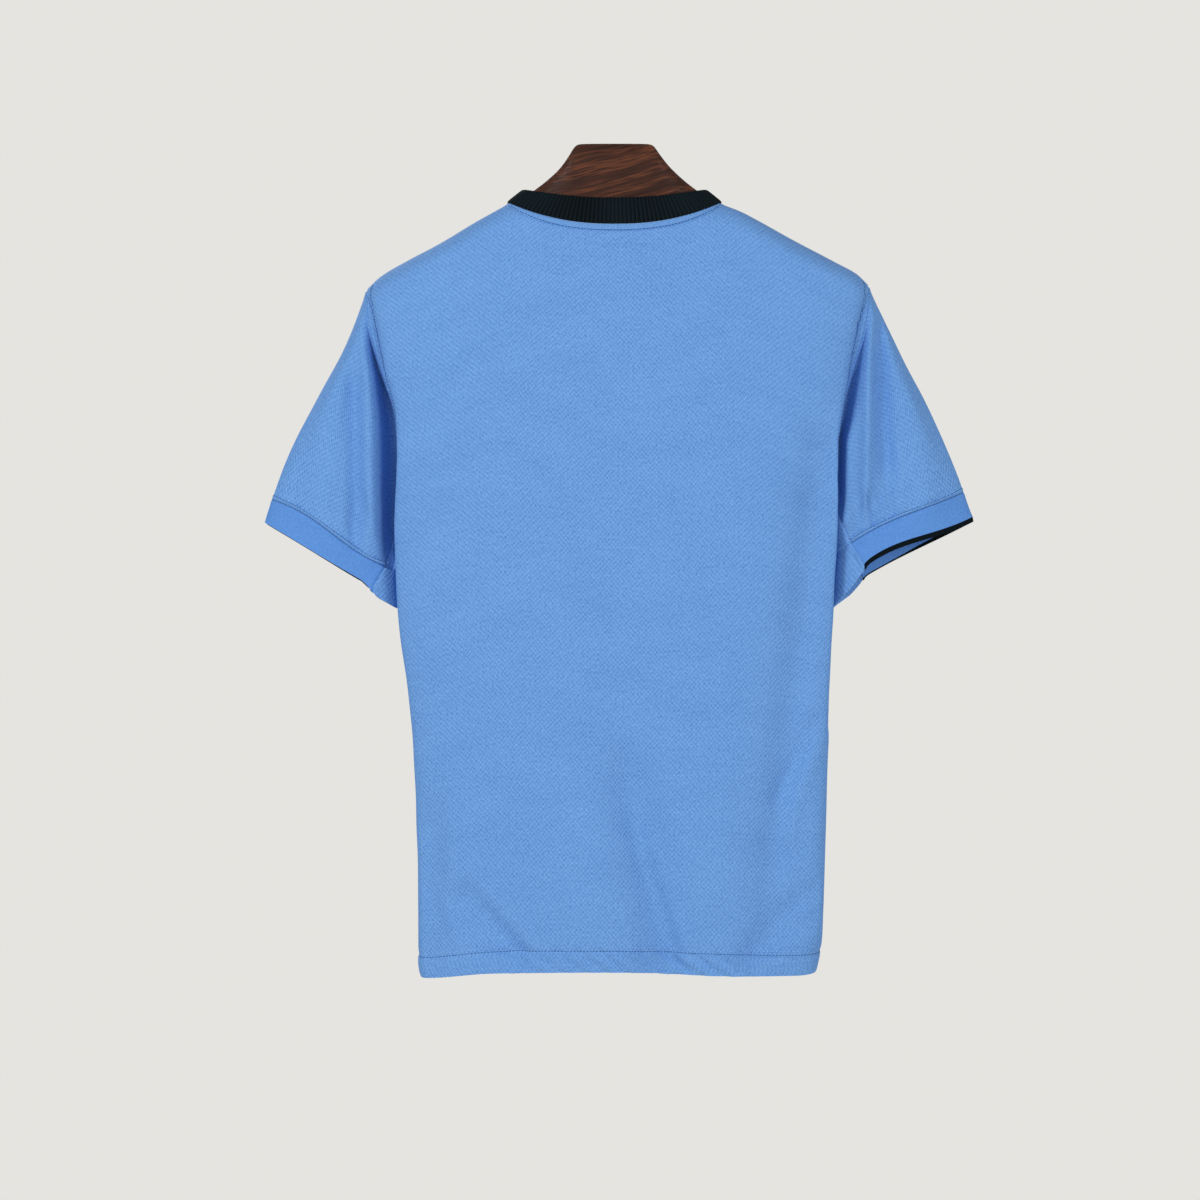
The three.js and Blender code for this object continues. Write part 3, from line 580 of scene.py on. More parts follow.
def arm_centre_y(half_x: np.ndarray) -> np.ndarray:
    """How far the hanger's arm curves forward at each place."""
    return -HANGER_FORWARD * (np.abs(half_x) / HANGER_ARM) ** HANGER_BEND


def ridge_z(side: SideCut, half_x: np.ndarray) -> np.ndarray:
    """Height of the line that the cloth hangs from."""
    inner = NECK_POINT_Z + (NECK_HALF_WIDTH - half_x) * NECK_SLOPE
    return np.where(half_x >= NECK_HALF_WIDTH, side.shoulder(half_x), inner)


def top_half_x(side: SideCut, column: np.ndarray) -> np.ndarray:
    """Half widths of the columns along the top edge.

    Args:
        side: which side of the garment.
        column: columns from the middle (0) to the edge (HALF_COLUMNS).

    Returns:
        The half width at each column.
    """
    even = column / NECK_COLUMNS
    neck = NECK_HALF_WIDTH * mix(even, np.sin(math.pi / 2 * even), NECK_EVENNESS)
    out = (column - NECK_COLUMNS) / (HALF_COLUMNS - NECK_COLUMNS)
    return np.where(column <= NECK_COLUMNS, neck, mix(NECK_HALF_WIDTH, side.tip_x, out))


def half_panel(face: Face, side: SideCut, columns: np.ndarray, rows: np.ndarray) -> np.ndarray:
    """Outer points of one half of a panel.

    Args:
        face: the back or the front.
        side: which side of the middle.
        columns: columns from the middle (0) to the edge (HALF_COLUMNS).
        rows: rows from the top (0) to the hem (ALL_ROWS).

    Returns:
        Points in mm, one row of the array for each row.
    """
    edge_z = np.interp(rows, np.arange(ALL_ROWS + 1), side.rows())[:, None]
    share = (columns / HALF_COLUMNS)[None, :]
    down = (edge_z - side.tip_z) / (HEM_Z - side.tip_z)
    top_x = top_half_x(side, columns)[None, :]
    beside = np.minimum(1.0, top_x / NECK_HALF_WIDTH)
    neckline = NECK_LOW[face] + (NECK_POINT_Z - NECK_LOW[face]) * beside ** NECK_POWER[face]
    top_z = np.where(top_x >= NECK_HALF_WIDTH, ridge_z(side, top_x), neckline)
    hem_z = HEM_Z + HEM_DROP(side.sign * HEM_HALF_WIDTH * share)
    z = mix(top_z, hem_z, down)

    on_back = face is Face.BACK
    tuck = TUCK(z)
    widening = BULGE_PER_TUCK * tuck * on_back
    width = side.edge(edge_z) + widening
    centre_y = CENTRE_Y[face](z)
    edge_y = EDGE_Y[face](mix(z, edge_z, share))
    even_x = section_half_x(width, np.abs(centre_y - edge_y), share)
    half_x = mix(top_x, even_x, smooth(down / EVEN_BELOW))
    across = np.minimum(1.0, half_x / width)
    crown = (1.0 - across**SECTION_POWER) ** (1.0 / SECTION_POWER)
    section_y = mix(edge_y, centre_y, crown)

    below = np.clip((ridge_z(side, np.minimum(half_x, top_x)) - z) / SHOULDER_ROUND, 0.0, 1.0)
    rounded = np.sqrt(1.0 - (1.0 - below) ** 2)
    fade = smooth((1.0 - across) / EDGE_FADE)
    x = side.sign * half_x
    fold_y = face.value * fold_height(PANEL_FOLDS[face], x, z) * fade
    y = mix(arm_centre_y(half_x), section_y, rounded) + fold_y * rounded
    if on_back:
        under = smooth((TUCK_CROWN - crown) / TUCK_CROWN)
    else:
        under = ramp(across, *FRONT_TUCK) ** 2
    return np.stack([side.sign * (half_x - (tuck + widening) * under), y, z], -1)


def panel_points(face: Face, columns: np.ndarray, rows: np.ndarray) -> np.ndarray:
    """Outer points of a whole panel, its two halves blended at the middle.

    Args:
        face: the back or the front.
        columns: columns from -HALF_COLUMNS (right) to HALF_COLUMNS (left).
        rows: rows from the top (0) to the hem (ALL_ROWS).

    Returns:
        Points in mm, one row of the array for each row.
    """
    right = half_panel(face, RIGHT, -columns[columns < 0], rows)
    left = half_panel(face, LEFT, columns[columns >= 0], rows)
    points = np.concatenate([right, left], 1)
    middle = np.zeros(1)
    step = half_panel(face, LEFT, middle, rows) - half_panel(face, RIGHT, middle, rows)
    share = np.clip(1.0 - np.abs(columns) / BLENDED_COLUMNS, 0.0, 1.0) * np.where(columns < 0, 1.0, -1.0)
    return points + step / 2.0 * share[None, :, None]


@dataclass(frozen=True)
class Ring:
    """A flattened ring of a sleeve, from its outer fold to its underarm."""

    outer_x: float
    outer_z: float
    inner_x: float
    inner_z: float
    back_rise: float
    front_rise: float
    seam_shift: float
    wave: float = 0.0
    fold_power: float = 0.62
    underarm_power: float = 0.44
    rise_power: float = 1.6

    def points(self, side: SideCut, steps: np.ndarray, drop: float) -> np.ndarray:
        """Points of the ring: steps below 0 on the back, above 0 on the front.

        Args:
            side: the side of the garment.
            steps: steps from the outer fold, as rows of the armhole.
            drop: how much lower the gusset hangs than the ring's line.

        Returns:
            Points in mm.
        """
        even = ring_share(steps)
        near_seam = ramp(even, *SEAM_SHIFT) * smooth((1.0 - even) / FOLD_FADE)
        share = even + self.seam_shift * near_seam
        on_back = steps < 0
        power = mix(self.fold_power, self.underarm_power, ramp(share, *UNDERARM))
        crown = np.sin(math.pi * share) ** power
        rise = np.where(on_back, self.back_rise, self.front_rise)
        rise = rise * np.sin(math.pi * share**self.rise_power)
        depth = np.where(on_back, RING_DEPTH, -RING_DEPTH)
        rise = rise + np.where(on_back, self.wave, 0.0) * np.sin(2.0 * math.pi * share)
        near_gusset = ramp(share, *GUSSET_DROP)
        x = side.sign * mix(self.outer_x, self.inner_x, share)
        y = mix(RING_OUTER_Y, RING_INNER_Y, share) + depth * crown
        z = mix(self.outer_z, self.inner_z, share) + rise - drop * near_gusset
        return np.stack([x, y, z], -1)


def ring_share(steps: np.ndarray) -> np.ndarray:
    """Share of the way from the outer fold to the underarm.

    Args:
        steps: steps from the outer fold, below 0 on the back.

    Returns:
        The share at each step, 0 at the fold.
    """
    away = np.abs(steps)
    as_armhole = np.interp(away, np.arange(ARMHOLE_STEPS + 1), ARMHOLE_ROWS) / ARMHOLE_ROWS[-1]
    return np.clip((away / ARMHOLE_STEPS + as_armhole) / 2.0, 0.0, 1.0)


@dataclass(frozen=True)
class SleeveForm:
    """The surface of one sleeve, from the armhole to the bottom edge."""

    side: SideCut
    outward: float
    bow: float
    seam: Ring
    edging: Ring
    bottom: Ring
    back_folds: tuple[Fold, ...]
    front_folds: tuple[Fold, ...]
    trench: Trench
    gusset_drop: float = 8.0
    swell: float = 5.0

    def armhole(self, steps: np.ndarray) -> np.ndarray:
        """The armhole, taken from the panels' edges.

        Args:
            steps: steps from the top of the armhole, below 0 on the back.

        Returns:
            Points in mm.
        """
        column = np.array([self.side.sign * HALF_COLUMNS])
        back = panel_points(Face.BACK, column, -steps[steps < 0])[:, 0]
        front = panel_points(Face.FRONT, column, steps[steps >= 0])[:, 0]
        return np.concatenate([back, front], 0)

    def band(self, part: Part, steps: np.ndarray, shares: np.ndarray) -> np.ndarray:
        """Outer points of one band of the sleeve.

        Args:
            part: the sleeve, the cuff or the edging.
            steps: steps round the ring.
            shares: shares of the way down the band.

        Returns:
            Points in mm, one row of the array for each share.
        """
        seam = self.seam.points(self.side, steps, 0.0)
        edging = self.edging.points(self.side, steps, self.gusset_drop * EDGING_DROP)
        bottom = self.bottom.points(self.side, steps, self.gusset_drop)
        is_sleeve = part is Part.SLEEVE
        if is_sleeve:
            start, end = self.armhole(steps), seam
        elif part is Part.CUFF:
            start, end = seam, edging
        else:
            start, end = edging, bottom
        down = shares[:, None]
        points = mix(start[None], end[None], down[..., None])
        share = ring_share(steps)[None, :]
        swell = np.sin(math.pi * down) * is_sleeve
        face = np.where(steps < 0, 1.0, -1.0)[None, :]
        twist = np.sin(2.0 * math.pi * down) * is_sleeve
        swing = self.outward * swell + self.bow * twist
        points[..., 0] += self.side.sign * swing * (1.0 - share) ** 3
        points[..., 1] += face * self.swell * swell * np.sin(math.pi * share)
        x = self.side.sign * points[..., 0]
        z = points[..., 2]
        back = fold_height(self.back_folds, x, z)
        front = fold_height(self.front_folds, x, z)
        from_seam = smooth(down / FOLD_FADE) if is_sleeve else 1.0
        from_fold = smooth(np.minimum(share, 1.0 - share) / FOLD_FADE)
        points[..., 1] += face * np.where(face > 0, back, front) * from_seam * from_fold
        if is_sleeve:
            from_edge = np.linalg.norm(points - points[:1], axis=-1)
            trench = self.trench.height(x, z) * smooth(from_edge / SETTLED) * (face > 0)
            points[..., 1] += trench * smooth((1.0 - share) / EDGE_FADE)
        return points


SLEEVES = {
    Wearer.LEFT: SleeveForm(
        side=LEFT,
        outward=0.0,
        bow=-3.2,
        seam=Ring(317.5, -328.6, 202, -394.4, 0, -2, 0.057, 3.6),
        edging=Ring(323, -346, 201, -417.3, -1, -2, -0.037),
        bottom=Ring(324, -350, 201, -421.3, -1, -2, -0.036),
        back_folds=(
            Fold(229, -205, 226, -350, 8, 5, 50),
            Fold(240, -235, 238, -345, 8, -8, 44),
            Fold(262, -230, 268, -330, 18, 4, 60),
        ),
        trench=Trench(
            middle=Curve(
                (-150, 223), (-190, 218.5), (-225, 211.5), (-265, 206.5), (-310, 205.5), (-400, 205)
            ),
            half_width=Curve((-140, 4.5), (-200, 8), (-270, 10.5), (-340, 10.5), (-400, 8)),
            depth=Curve(
                (-134, 0), (-148, 5), (-172, 12), (-210, 21), (-260, 32), (-340, 34), (-368, 24), (-390, 5)
            ),
        ),
        front_folds=(Fold(226, -200, 230, -345, 12, -9, 50), Fold(258, -230, 270, -340, 13, 6, 50)),
    ),
    Wearer.RIGHT: SleeveForm(
        side=RIGHT,
        outward=2.5,
        bow=-1.6,
        seam=Ring(323.6, -322, 204.5, -379.2, 6, -2, 0.027),
        edging=Ring(332, -344.5, 200.5, -416.8, 15, 0.5, -0.086),
        bottom=Ring(333, -349, 200.5, -421.8, 15, 4, -0.086),
        back_folds=(
            Fold(237, -150, 232, -315, 6, 7, 40),
            Fold(244, -170, 251, -290, 8, -9.5, 40),
            Fold(275, -245, 288, -322, 16, 4, 50),
        ),
        trench=Trench(
            middle=Curve(
                (-136, 231), (-163, 226.5), (-200, 220), (-237, 213.5), (-265, 209), (-300, 207.5),
                (-400, 207),
            ),
            half_width=Curve((-140, 5), (-200, 10), (-250, 8.5), (-280, 5), (-400, 4.5)),
            depth=Curve(
                (-132, 0), (-146, 4), (-170, 8), (-215, 14), (-262, 19), (-310, 19), (-338, 11), (-352, 0)
            ),
        ),
        front_folds=(Fold(232, -200, 235, -340, 12, -9, 50), Fold(266, -230, 278, -335, 13, 6, 50)),
    ),
}
BAND_ROWS = {Part.SLEEVE: 66, Part.CUFF: 12, Part.EDGING: 4}
CUFF_ROW = BAND_ROWS[Part.SLEEVE]
EDGING_ROW = CUFF_ROW + BAND_ROWS[Part.CUFF]

# How fine the grids are, and how close their extra lines lie to a seam
STEPS_ACROSS = 6
STEPS_DOWN = 4
STEPS_IN_GUSSET = 10
SIDE_SAMPLES = 33
NECK_SAMPLES = 31
PANEL_HUG = 0.05
SLEEVE_HUG = 0.04
CLOSER = 1.3
HEM_SHARES = np.array([0.06, 0.12, 0.25, 0.4, 0.55, 0.7, 0.85, 0.95, 1.0])
COLLAR_SHARES = np.array([0.0, 0.03, 0.1, 0.22, 0.36, 0.5, 0.64, 0.78, 0.9, 0.97, 1.0])
SLEEVE_CREASES = {
    Wearer.LEFT: (
        Fold(250, -250, 256, -330, 6, -1.2, 30),
        Fold(232, -330, 224, -368, 4.5, -1.6, 14),
        Fold(282, -270, 296, -322, 8, -0.9, 20),
        Fold(244, -345, 240, -372, 4, -0.9, 8),
    ),
    Wearer.RIGHT: (
        Fold(237, -332, 240, -352, 3.6, -3.6, 14),
        Fold(245, -328, 248, -349, 3.6, -3.6, 13),
        Fold(253, -322, 256, -345, 4.0, -3.2, 14),
        Fold(226, -330, 224, -366, 4.0, -2.0, 12),
        Fold(262, -250, 274, -325, 6, -1.0, 24),
        Fold(222, -382, 232, -400, 3.4, -1.4, 8),
    ),
}


# Grids of points that become cloth


@dataclass
class ClothGrid:
    """A grid of outer points with their normals; facing is -1 where its columns run backwards."""

    points: np.ndarray
    rows: np.ndarray
    columns: np.ndarray
    closed: bool = False
    facing: float = 1.0
    normals: np.ndarray = field(init=False)

    def __post_init__(self) -> None:
        """Works out the normals."""
        self.normals = self.find_normals()

    def find_normals(self) -> np.ndarray:
        """Unit normals of the points, facing outwards.

        Returns:
            A normal for each point.
        """
        if self.closed:
            ahead = np.roll(self.points, -1, 1) - np.roll(self.points, 1, 1)
        else:
            ahead = np.gradient(self.points, axis=1)
        down = np.gradient(self.points, axis=0)
        normals = np.cross(ahead, down)
        return self.facing * normals / np.maximum(np.linalg.norm(normals, axis=-1, keepdims=True), 1e-9)

    def raise_by(self, height: np.ndarray) -> None:
        """Moves the points along their normals and works the normals out again."""
        self.points = self.points + self.normals * height[..., None]
        self.normals = self.find_normals()

    def lengths(self, axis: int) -> np.ndarray:
        """Distance of each point from the first one of its line.

        Args:
            axis: 0 for the lines that run down, 1 for those that run across.

        Returns:
            The distances in mm.
        """
        steps = np.linalg.norm(np.diff(self.points, axis=axis), axis=-1)
        start = np.zeros_like(np.take(steps, [0], axis))
        return np.concatenate([start, np.cumsum(steps, axis)], axis)

    def side_distance(self) -> np.ndarray:
        """Distance of each point from the nearer of the two sides."""
        along = self.lengths(1)
        return np.minimum(along, along[:, -1:] - along)

    def draw_back(self, gap: float, top: bool, bottom: bool, sides: bool) -> None:
        """Draws the named edges back by half of a seam gap.

        Args:
            gap: width of the gap, in mm.
            top: whether the top edge is a seam.
            bottom: whether the bottom edge is a seam.
            sides: whether both sides are seams.
        """
        across = self.points.swapaxes(0, 1)
        edges = (
            (self.points, 0, 1, top),
            (self.points, -1, -2, bottom),
            (across, 0, 1, sides),
            (across, -1, -2, sides),
        )
        for lines, edge, inside, wanted in edges:
            if wanted:
                away = lines[inside] - lines[edge]
                lines[edge] += away / np.linalg.norm(away, axis=-1, keepdims=True) * gap / 2.0

    def line_from_top(self, distance: float, from_bottom: bool = False) -> tuple[np.ndarray, np.ndarray]:
        """The line at a distance from the top or bottom edge.

        Args:
            distance: distance from the edge, in mm.
            from_bottom: whether it is measured from the bottom edge.

        Returns:
            The line's points and normals.
        """
        down = self.lengths(0)
        if from_bottom:
            down = down[-1:] - down
        order = slice(None, None, -1) if from_bottom else slice(None)
        spots = np.arange(len(down), dtype=float)[order]
        row = np.array([np.interp(distance, down[order, i], spots) for i in range(down.shape[1])])
        return self.between(row, np.arange(down.shape[1], dtype=float))

    def line_from_side(self, distance: float, at_end: bool) -> tuple[np.ndarray, np.ndarray]:
        """The line at a distance from the first or last column.

        Args:
            distance: distance from the side, in mm.
            at_end: whether it is measured from the last column.

        Returns:
            The line's points and normals.
        """
        along = self.lengths(1)
        if at_end:
            along = along[:, -1:] - along
        order = slice(None, None, -1) if at_end else slice(None)
        spots = np.arange(along.shape[1], dtype=float)[order]
        column = np.array([np.interp(distance, line[order], spots) for line in along])
        return self.between(np.arange(len(along), dtype=float), column)

    def between(self, row: np.ndarray, column: np.ndarray) -> tuple[np.ndarray, np.ndarray]:
        """Points and normals at fractional places of the grid.

        Args:
            row: rows, counted from 0.
            column: columns, counted from 0, one for each row.

        Returns:
            The points and the normals there.
        """
        r = np.clip(row.astype(int), 0, self.points.shape[0] - 2)
        c = np.clip(column.astype(int), 0, self.points.shape[1] - 2)
        fr = (row - r)[:, None]
        fc = (column - c)[:, None]

        def blend(values: np.ndarray) -> np.ndarray:
            """Mixes the four corners round each place.

            Args:
                values: points or normals of the whole grid.

            Returns:
                Their values at the places.
            """
            upper = mix(values[r, c], values[r, c + 1], fc)
            lower = mix(values[r + 1, c], values[r + 1, c + 1], fc)
            return mix(upper, lower, fr)

        return blend(self.points), blend(self.normals)


def fine_steps(first: float, last: float, per_unit: int, hug: float = 0.0) -> np.ndarray:
    """Even steps between whole numbers, with extra ones close to both ends.

    Args:
        first: first step.
        last: last step.
        per_unit: steps in each whole one.
        hug: distance of the extra steps from the ends, or 0 for none.

    Returns:
        Rising steps.
    """
    steps = np.linspace(first, last, int(round((last - first) * per_unit)) + 1)
    if hug:
        steps = np.concatenate([steps, [first + hug, last - hug]])
    return np.unique(np.round(steps, 6))


def make_cloth(name: str, grid: ClothGrid, wall: float) -> bpy.types.Object:
    """Makes a piece of cloth with a wall from a grid.

    Args:
        name: name of the piece.
        grid: its outer points, in mm.
        wall: thickness of the cloth, in mm.

    Returns:
        The finished object, with a UV map in metres of cloth.
    """
    rows, columns = grid.points.shape[:2]
    index = np.arange(rows * columns).reshape(rows, columns)
    right = np.roll(index, -1, 1) if grid.closed else index[:, 1:]
    here = index if grid.closed else index[:, :-1]
    corners = [here[:-1], right[:-1], right[1:], here[1:]]
    if grid.facing < 0:
        corners.reverse()
    faces = np.stack(corners, -1).reshape(-1, 4)
    mesh = bpy.data.meshes.new(name)
    mesh.from_pydata((grid.points.reshape(-1, 3) * MM).tolist(), [], faces.tolist())
    along = grid.lengths(1)
    along = np.tile(along.mean(0), (rows, 1)) if grid.closed else along - along[:, [columns // 2]]
    down = np.broadcast_to(grid.lengths(0).mean(1)[:, None], along.shape)
    pattern = np.stack([along, -down], -1).reshape(-1, 2) * MM
    layer = mesh.uv_layers.new(name="cloth")
    layer.data.foreach_set("uv", pattern[faces.reshape(-1)].astype(np.float32).reshape(-1))
    mesh.validate()
    piece = bpy.data.objects.new(name, mesh)
    bpy.context.scene.collection.objects.link(piece)
    finish_wall(piece, wall)
    return piece


def select_only(piece: bpy.types.Object) -> None:
    """Selects one object and makes it the active one.

    Args:
        piece: the object.
    """
    bpy.ops.object.select_all(action="DESELECT")
    piece.select_set(True)
    bpy.context.view_layer.objects.active = piece


def finish_wall(piece: bpy.types.Object, wall: float) -> None:
    """Gives an open sheet its thickness, inwards from its outer face, and shades it smooth.

    Args:
        piece: the sheet.
        wall: thickness of the cloth, in mm.
    """
    select_only(piece)
    solidify = piece.modifiers.new("wall", "SOLIDIFY")
    solidify.thickness = wall * MM
    solidify.offset = -1.0
    solidify.use_even_offset = False
    bpy.ops.object.modifier_apply(modifier=solidify.name)
    bpy.ops.object.shade_smooth_by_angle(angle=CREASE_ANGLE)


# Finishes


class Graph:
    """Adds and links the nodes of one shader tree."""

    def __init__(self, tree: bpy.types.NodeTree) -> None:
        """Keeps the tree."""
        self.tree = tree

    def node(self, kind: str, inputs: dict | None = None, **settings: object) -> bpy.types.Node:
        """Adds a node.

        Args:
            kind: its type, without the ShaderNode at the start.
            inputs: values or sockets for its inputs, by name or number.
            settings: its own properties.

        Returns:
            The node.
        """
        name = kind if kind.startswith("Node") else "ShaderNode" + kind
        node = self.tree.nodes.new(name)
        for key, value in settings.items():
            setattr(node, key, value)
        for key, value in (inputs or {}).items():
            self.link(value, node.inputs[key])
        return node

    def link(self, value: Feed, socket: bpy.types.NodeSocket) -> None:
        """Links a socket to an input, or sets the input to a value.

        Args:
            value: the socket or the value.
            socket: the input.
        """
        if isinstance(value, Socket):
            self.tree.links.new(value, socket)
        else:
            socket.default_value = value

    def math(self, operation: str, first: Feed, second: Feed = 0.0, clamp: bool = False) -> Socket:
        """Adds a Math node.

        Args:
            operation: what it works out.
            first: its first socket or value.
            second: its second socket or value.
            clamp: whether the result stays between 0 and 1.

        Returns:
            The node's output.
        """
        inputs = {0: first, 1: second}
        node = self.node("Math", inputs, operation=operation, use_clamp=clamp)
        return node.outputs[0]

    def scaled(self, value: Socket, middle: float, factor: float, clamp: bool = False) -> Socket:
        """Takes a middle value away from a socket and multiplies the rest.

        Args:
            value: the socket.
            middle: what is taken away.
            factor: what the rest is multiplied by.
            clamp: whether the result stays between 0 and 1.

        Returns:
            The result's socket.
        """
        return self.math("MULTIPLY", self.math("SUBTRACT", value, middle), factor, clamp)

    def feed(
        self,
        shader: bpy.types.Node,
        factor: Socket,
        tones: tuple[Rgb, Rgb],
        relief: float,
        specular: float,
        height: Socket,
        roughness: Socket,
    ) -> None:
        """Gives a shader its colour, relief and roughness.

        Args:
            shader: the Principled BSDF.
            factor: share of the way from the first tone to the second.
            tones: the dark and the light tone.
            relief: height of the relief in metres.
            specular: strength of the mirrored light.
            height: height of the relief, about 0 to 1.
            roughness: the roughness.
        """
        mixed = self.node("Mix", {0: factor}, data_type="RGBA")
        for place, tone in zip((6, 7), tones):
            mixed.inputs[place].default_value = (*tone, 1.0)
        bump = self.node("Bump", {"Height": height, "Distance": relief, "Strength": 1.0})
        self.link(mixed.outputs[2], shader.inputs["Base Color"])
        self.link(bump.outputs[0], shader.inputs["Normal"])
        self.link(roughness, shader.inputs["Roughness"])
        self.link(specular, shader.inputs["Specular IOR Level"])


def new_group(
    name: str, inputs: dict[str, str], outputs: list[str]
) -> tuple[bpy.types.NodeTree, Graph, bpy.types.Node, bpy.types.Node]:
    """Starts a shader node group.

    Args:
        name: the group's name.
        inputs: socket types by name.
        outputs: names of its value outputs.

    Returns:
        The group's tree, its graph, its input node and its output node.
    """
    tree = bpy.data.node_groups.new(name, "ShaderNodeTree")
    for label, kind in inputs.items():
        tree.interface.new_socket(label, in_out="INPUT", socket_type=kind)
    for label in outputs:
        tree.interface.new_socket(label, in_out="OUTPUT", socket_type="NodeSocketFloat")
    graph = Graph(tree)
    return tree, graph, graph.node("NodeGroupInput"), graph.node("NodeGroupOutput")


def mesh_knit_group() -> bpy.types.NodeTree:
    """Diamond micro-mesh knit over a pattern map in metres.

    Returns:
        The group, with about -1 in the gaps of the mesh and 1 on its yarns.
    """
    kinds = {"Pattern": "NodeSocketVector", "Pitch": "NodeSocketFloat", "Slant": "NodeSocketFloat"}
    tree, graph, start, end = new_group("Mesh knit", kinds, ["Value"])
    parts = graph.node("SeparateXYZ", {0: start.outputs["Pattern"]})
    turn = graph.math("DIVIDE", 2.0 * math.pi, start.outputs["Pitch"])
    across = graph.math("SINE", graph.math("MULTIPLY", parts.outputs[0], turn))
    up = graph.math("MULTIPLY", graph.math("MULTIPLY", parts.outputs[1], turn), start.outputs["Slant"])
    lattice = graph.math("MULTIPLY", across, graph.math("SINE", up))
    yarn = graph.node("TexNoise", {"Vector": start.outputs["Pattern"], "Scale": 430.0, "Detail": 2.0})
    value = graph.math("ADD", lattice, graph.scaled(yarn.outputs[0], 0.5, 5.0))
    graph.link(value, end.inputs["Value"])
    return tree


def mottle_group() -> bpy.types.NodeTree:
    """Faint uneven tone, partly painted shade of fine horizontal crumples, a little wider than it is tall.

    Returns:
        The group, with a value of about -1 to 1.
    """
    tree, graph, start, end = new_group("Mottle", {"Pattern": "NodeSocketVector"}, ["Value"])
    wide = graph.node("Mapping", {"Vector": start.outputs["Pattern"], "Scale": (0.45, 1.0, 1.0)})
    large = graph.node("TexNoise", {"Vector": wide.outputs[0], "Scale": 34.0, "Detail": 3.0})
    small = graph.node("TexNoise", {"Vector": wide.outputs[0], "Scale": 150.0, "Detail": 3.0})
    clouds = graph.scaled(large.outputs[0], 0.5, 2.6)
    specks = graph.scaled(small.outputs[0], 0.5, 2.0)
    graph.link(graph.math("ADD", clouds, specks), end.inputs["Value"])
    return tree


def rib_group() -> bpy.types.NodeTree:
    """Fine ribs that run up a band.

    Returns:
        The group, with 0 in the grooves and 1 on the ribs.
    """
    kinds = {"Pattern": "NodeSocketVector", "Pitch": "NodeSocketFloat"}
    tree, graph, start, end = new_group("Rib knit", kinds, ["Value"])
    parts = graph.node("SeparateXYZ", {0: start.outputs["Pattern"]})
    turn = graph.math("DIVIDE", 2.0 * math.pi, start.outputs["Pitch"])
    wave = graph.math("SINE", graph.math("MULTIPLY", parts.outputs[0], turn))
    half = graph.math("ADD", graph.math("MULTIPLY", wave, 0.5), 0.5)
    fuzz = graph.node("TexNoise", {"Vector": start.outputs["Pattern"], "Scale": 900.0, "Detail": 2.0})
    value = graph.math("MULTIPLY", half, graph.math("ADD", fuzz.outputs[0], 0.5))
    graph.link(value, end.inputs["Value"])
    return tree


def wood_group() -> bpy.types.NodeTree:
    """Wood grain along X that rises a little.

    Returns:
        The group, with 0 in dark bands and pores and 1 in light wood.
    """
    tree, graph, start, end = new_group("Wood grain", {"Place": "NodeSocketVector"}, ["Grain", "Pores"])
    turned = graph.node(
        "Mapping", {"Vector": start.outputs["Place"], "Rotation": (0.0, math.radians(-13), 0.0)}
    )
    wander = graph.node("TexNoise", {"Vector": turned.outputs[0], "Scale": 14.0, "Detail": 1.0})
    bend = graph.node("VectorMath", {0: wander.outputs[1], 1: (0.0, 0.0, 0.02)}, operation="MULTIPLY")
    place = graph.node("VectorMath", {0: turned.outputs[0], 1: bend.outputs[0]}, operation="ADD")
    along = graph.node("Mapping", {"Vector": place.outputs[0], "Scale": (9.0, 60.0, 190.0)})
    bands = graph.node("TexNoise", {"Vector": along.outputs[0], "Scale": 1.0, "Detail": 4.0})
    fine = graph.node("Mapping", {"Vector": place.outputs[0], "Scale": (40.0, 500.0, 900.0)})
    pores = graph.node("TexNoise", {"Vector": fine.outputs[0], "Scale": 1.0, "Detail": 2.0})
    graph.link(graph.scaled(bands.outputs[0], 0.32, 2.6, True), end.inputs["Grain"])
    graph.link(graph.scaled(pores.outputs[0], 0.35, 3.0, True), end.inputs["Pores"])
    return tree


GROUPS = {
    "mesh": mesh_knit_group(),
    "mottle": mottle_group(),
    "rib": rib_group(),
    "wood": wood_group(),
}


def principled(name: str) -> tuple[bpy.types.Material, Graph, bpy.types.Node]:
    """Starts a material.

    Args:
        name: the material's name.

    Returns:
        The material, its graph and its shader.
    """
    material = bpy.data.materials.new(name)
    material.use_nodes = True
    graph = Graph(material.node_tree)
    return material, graph, material.node_tree.nodes["Principled BSDF"]


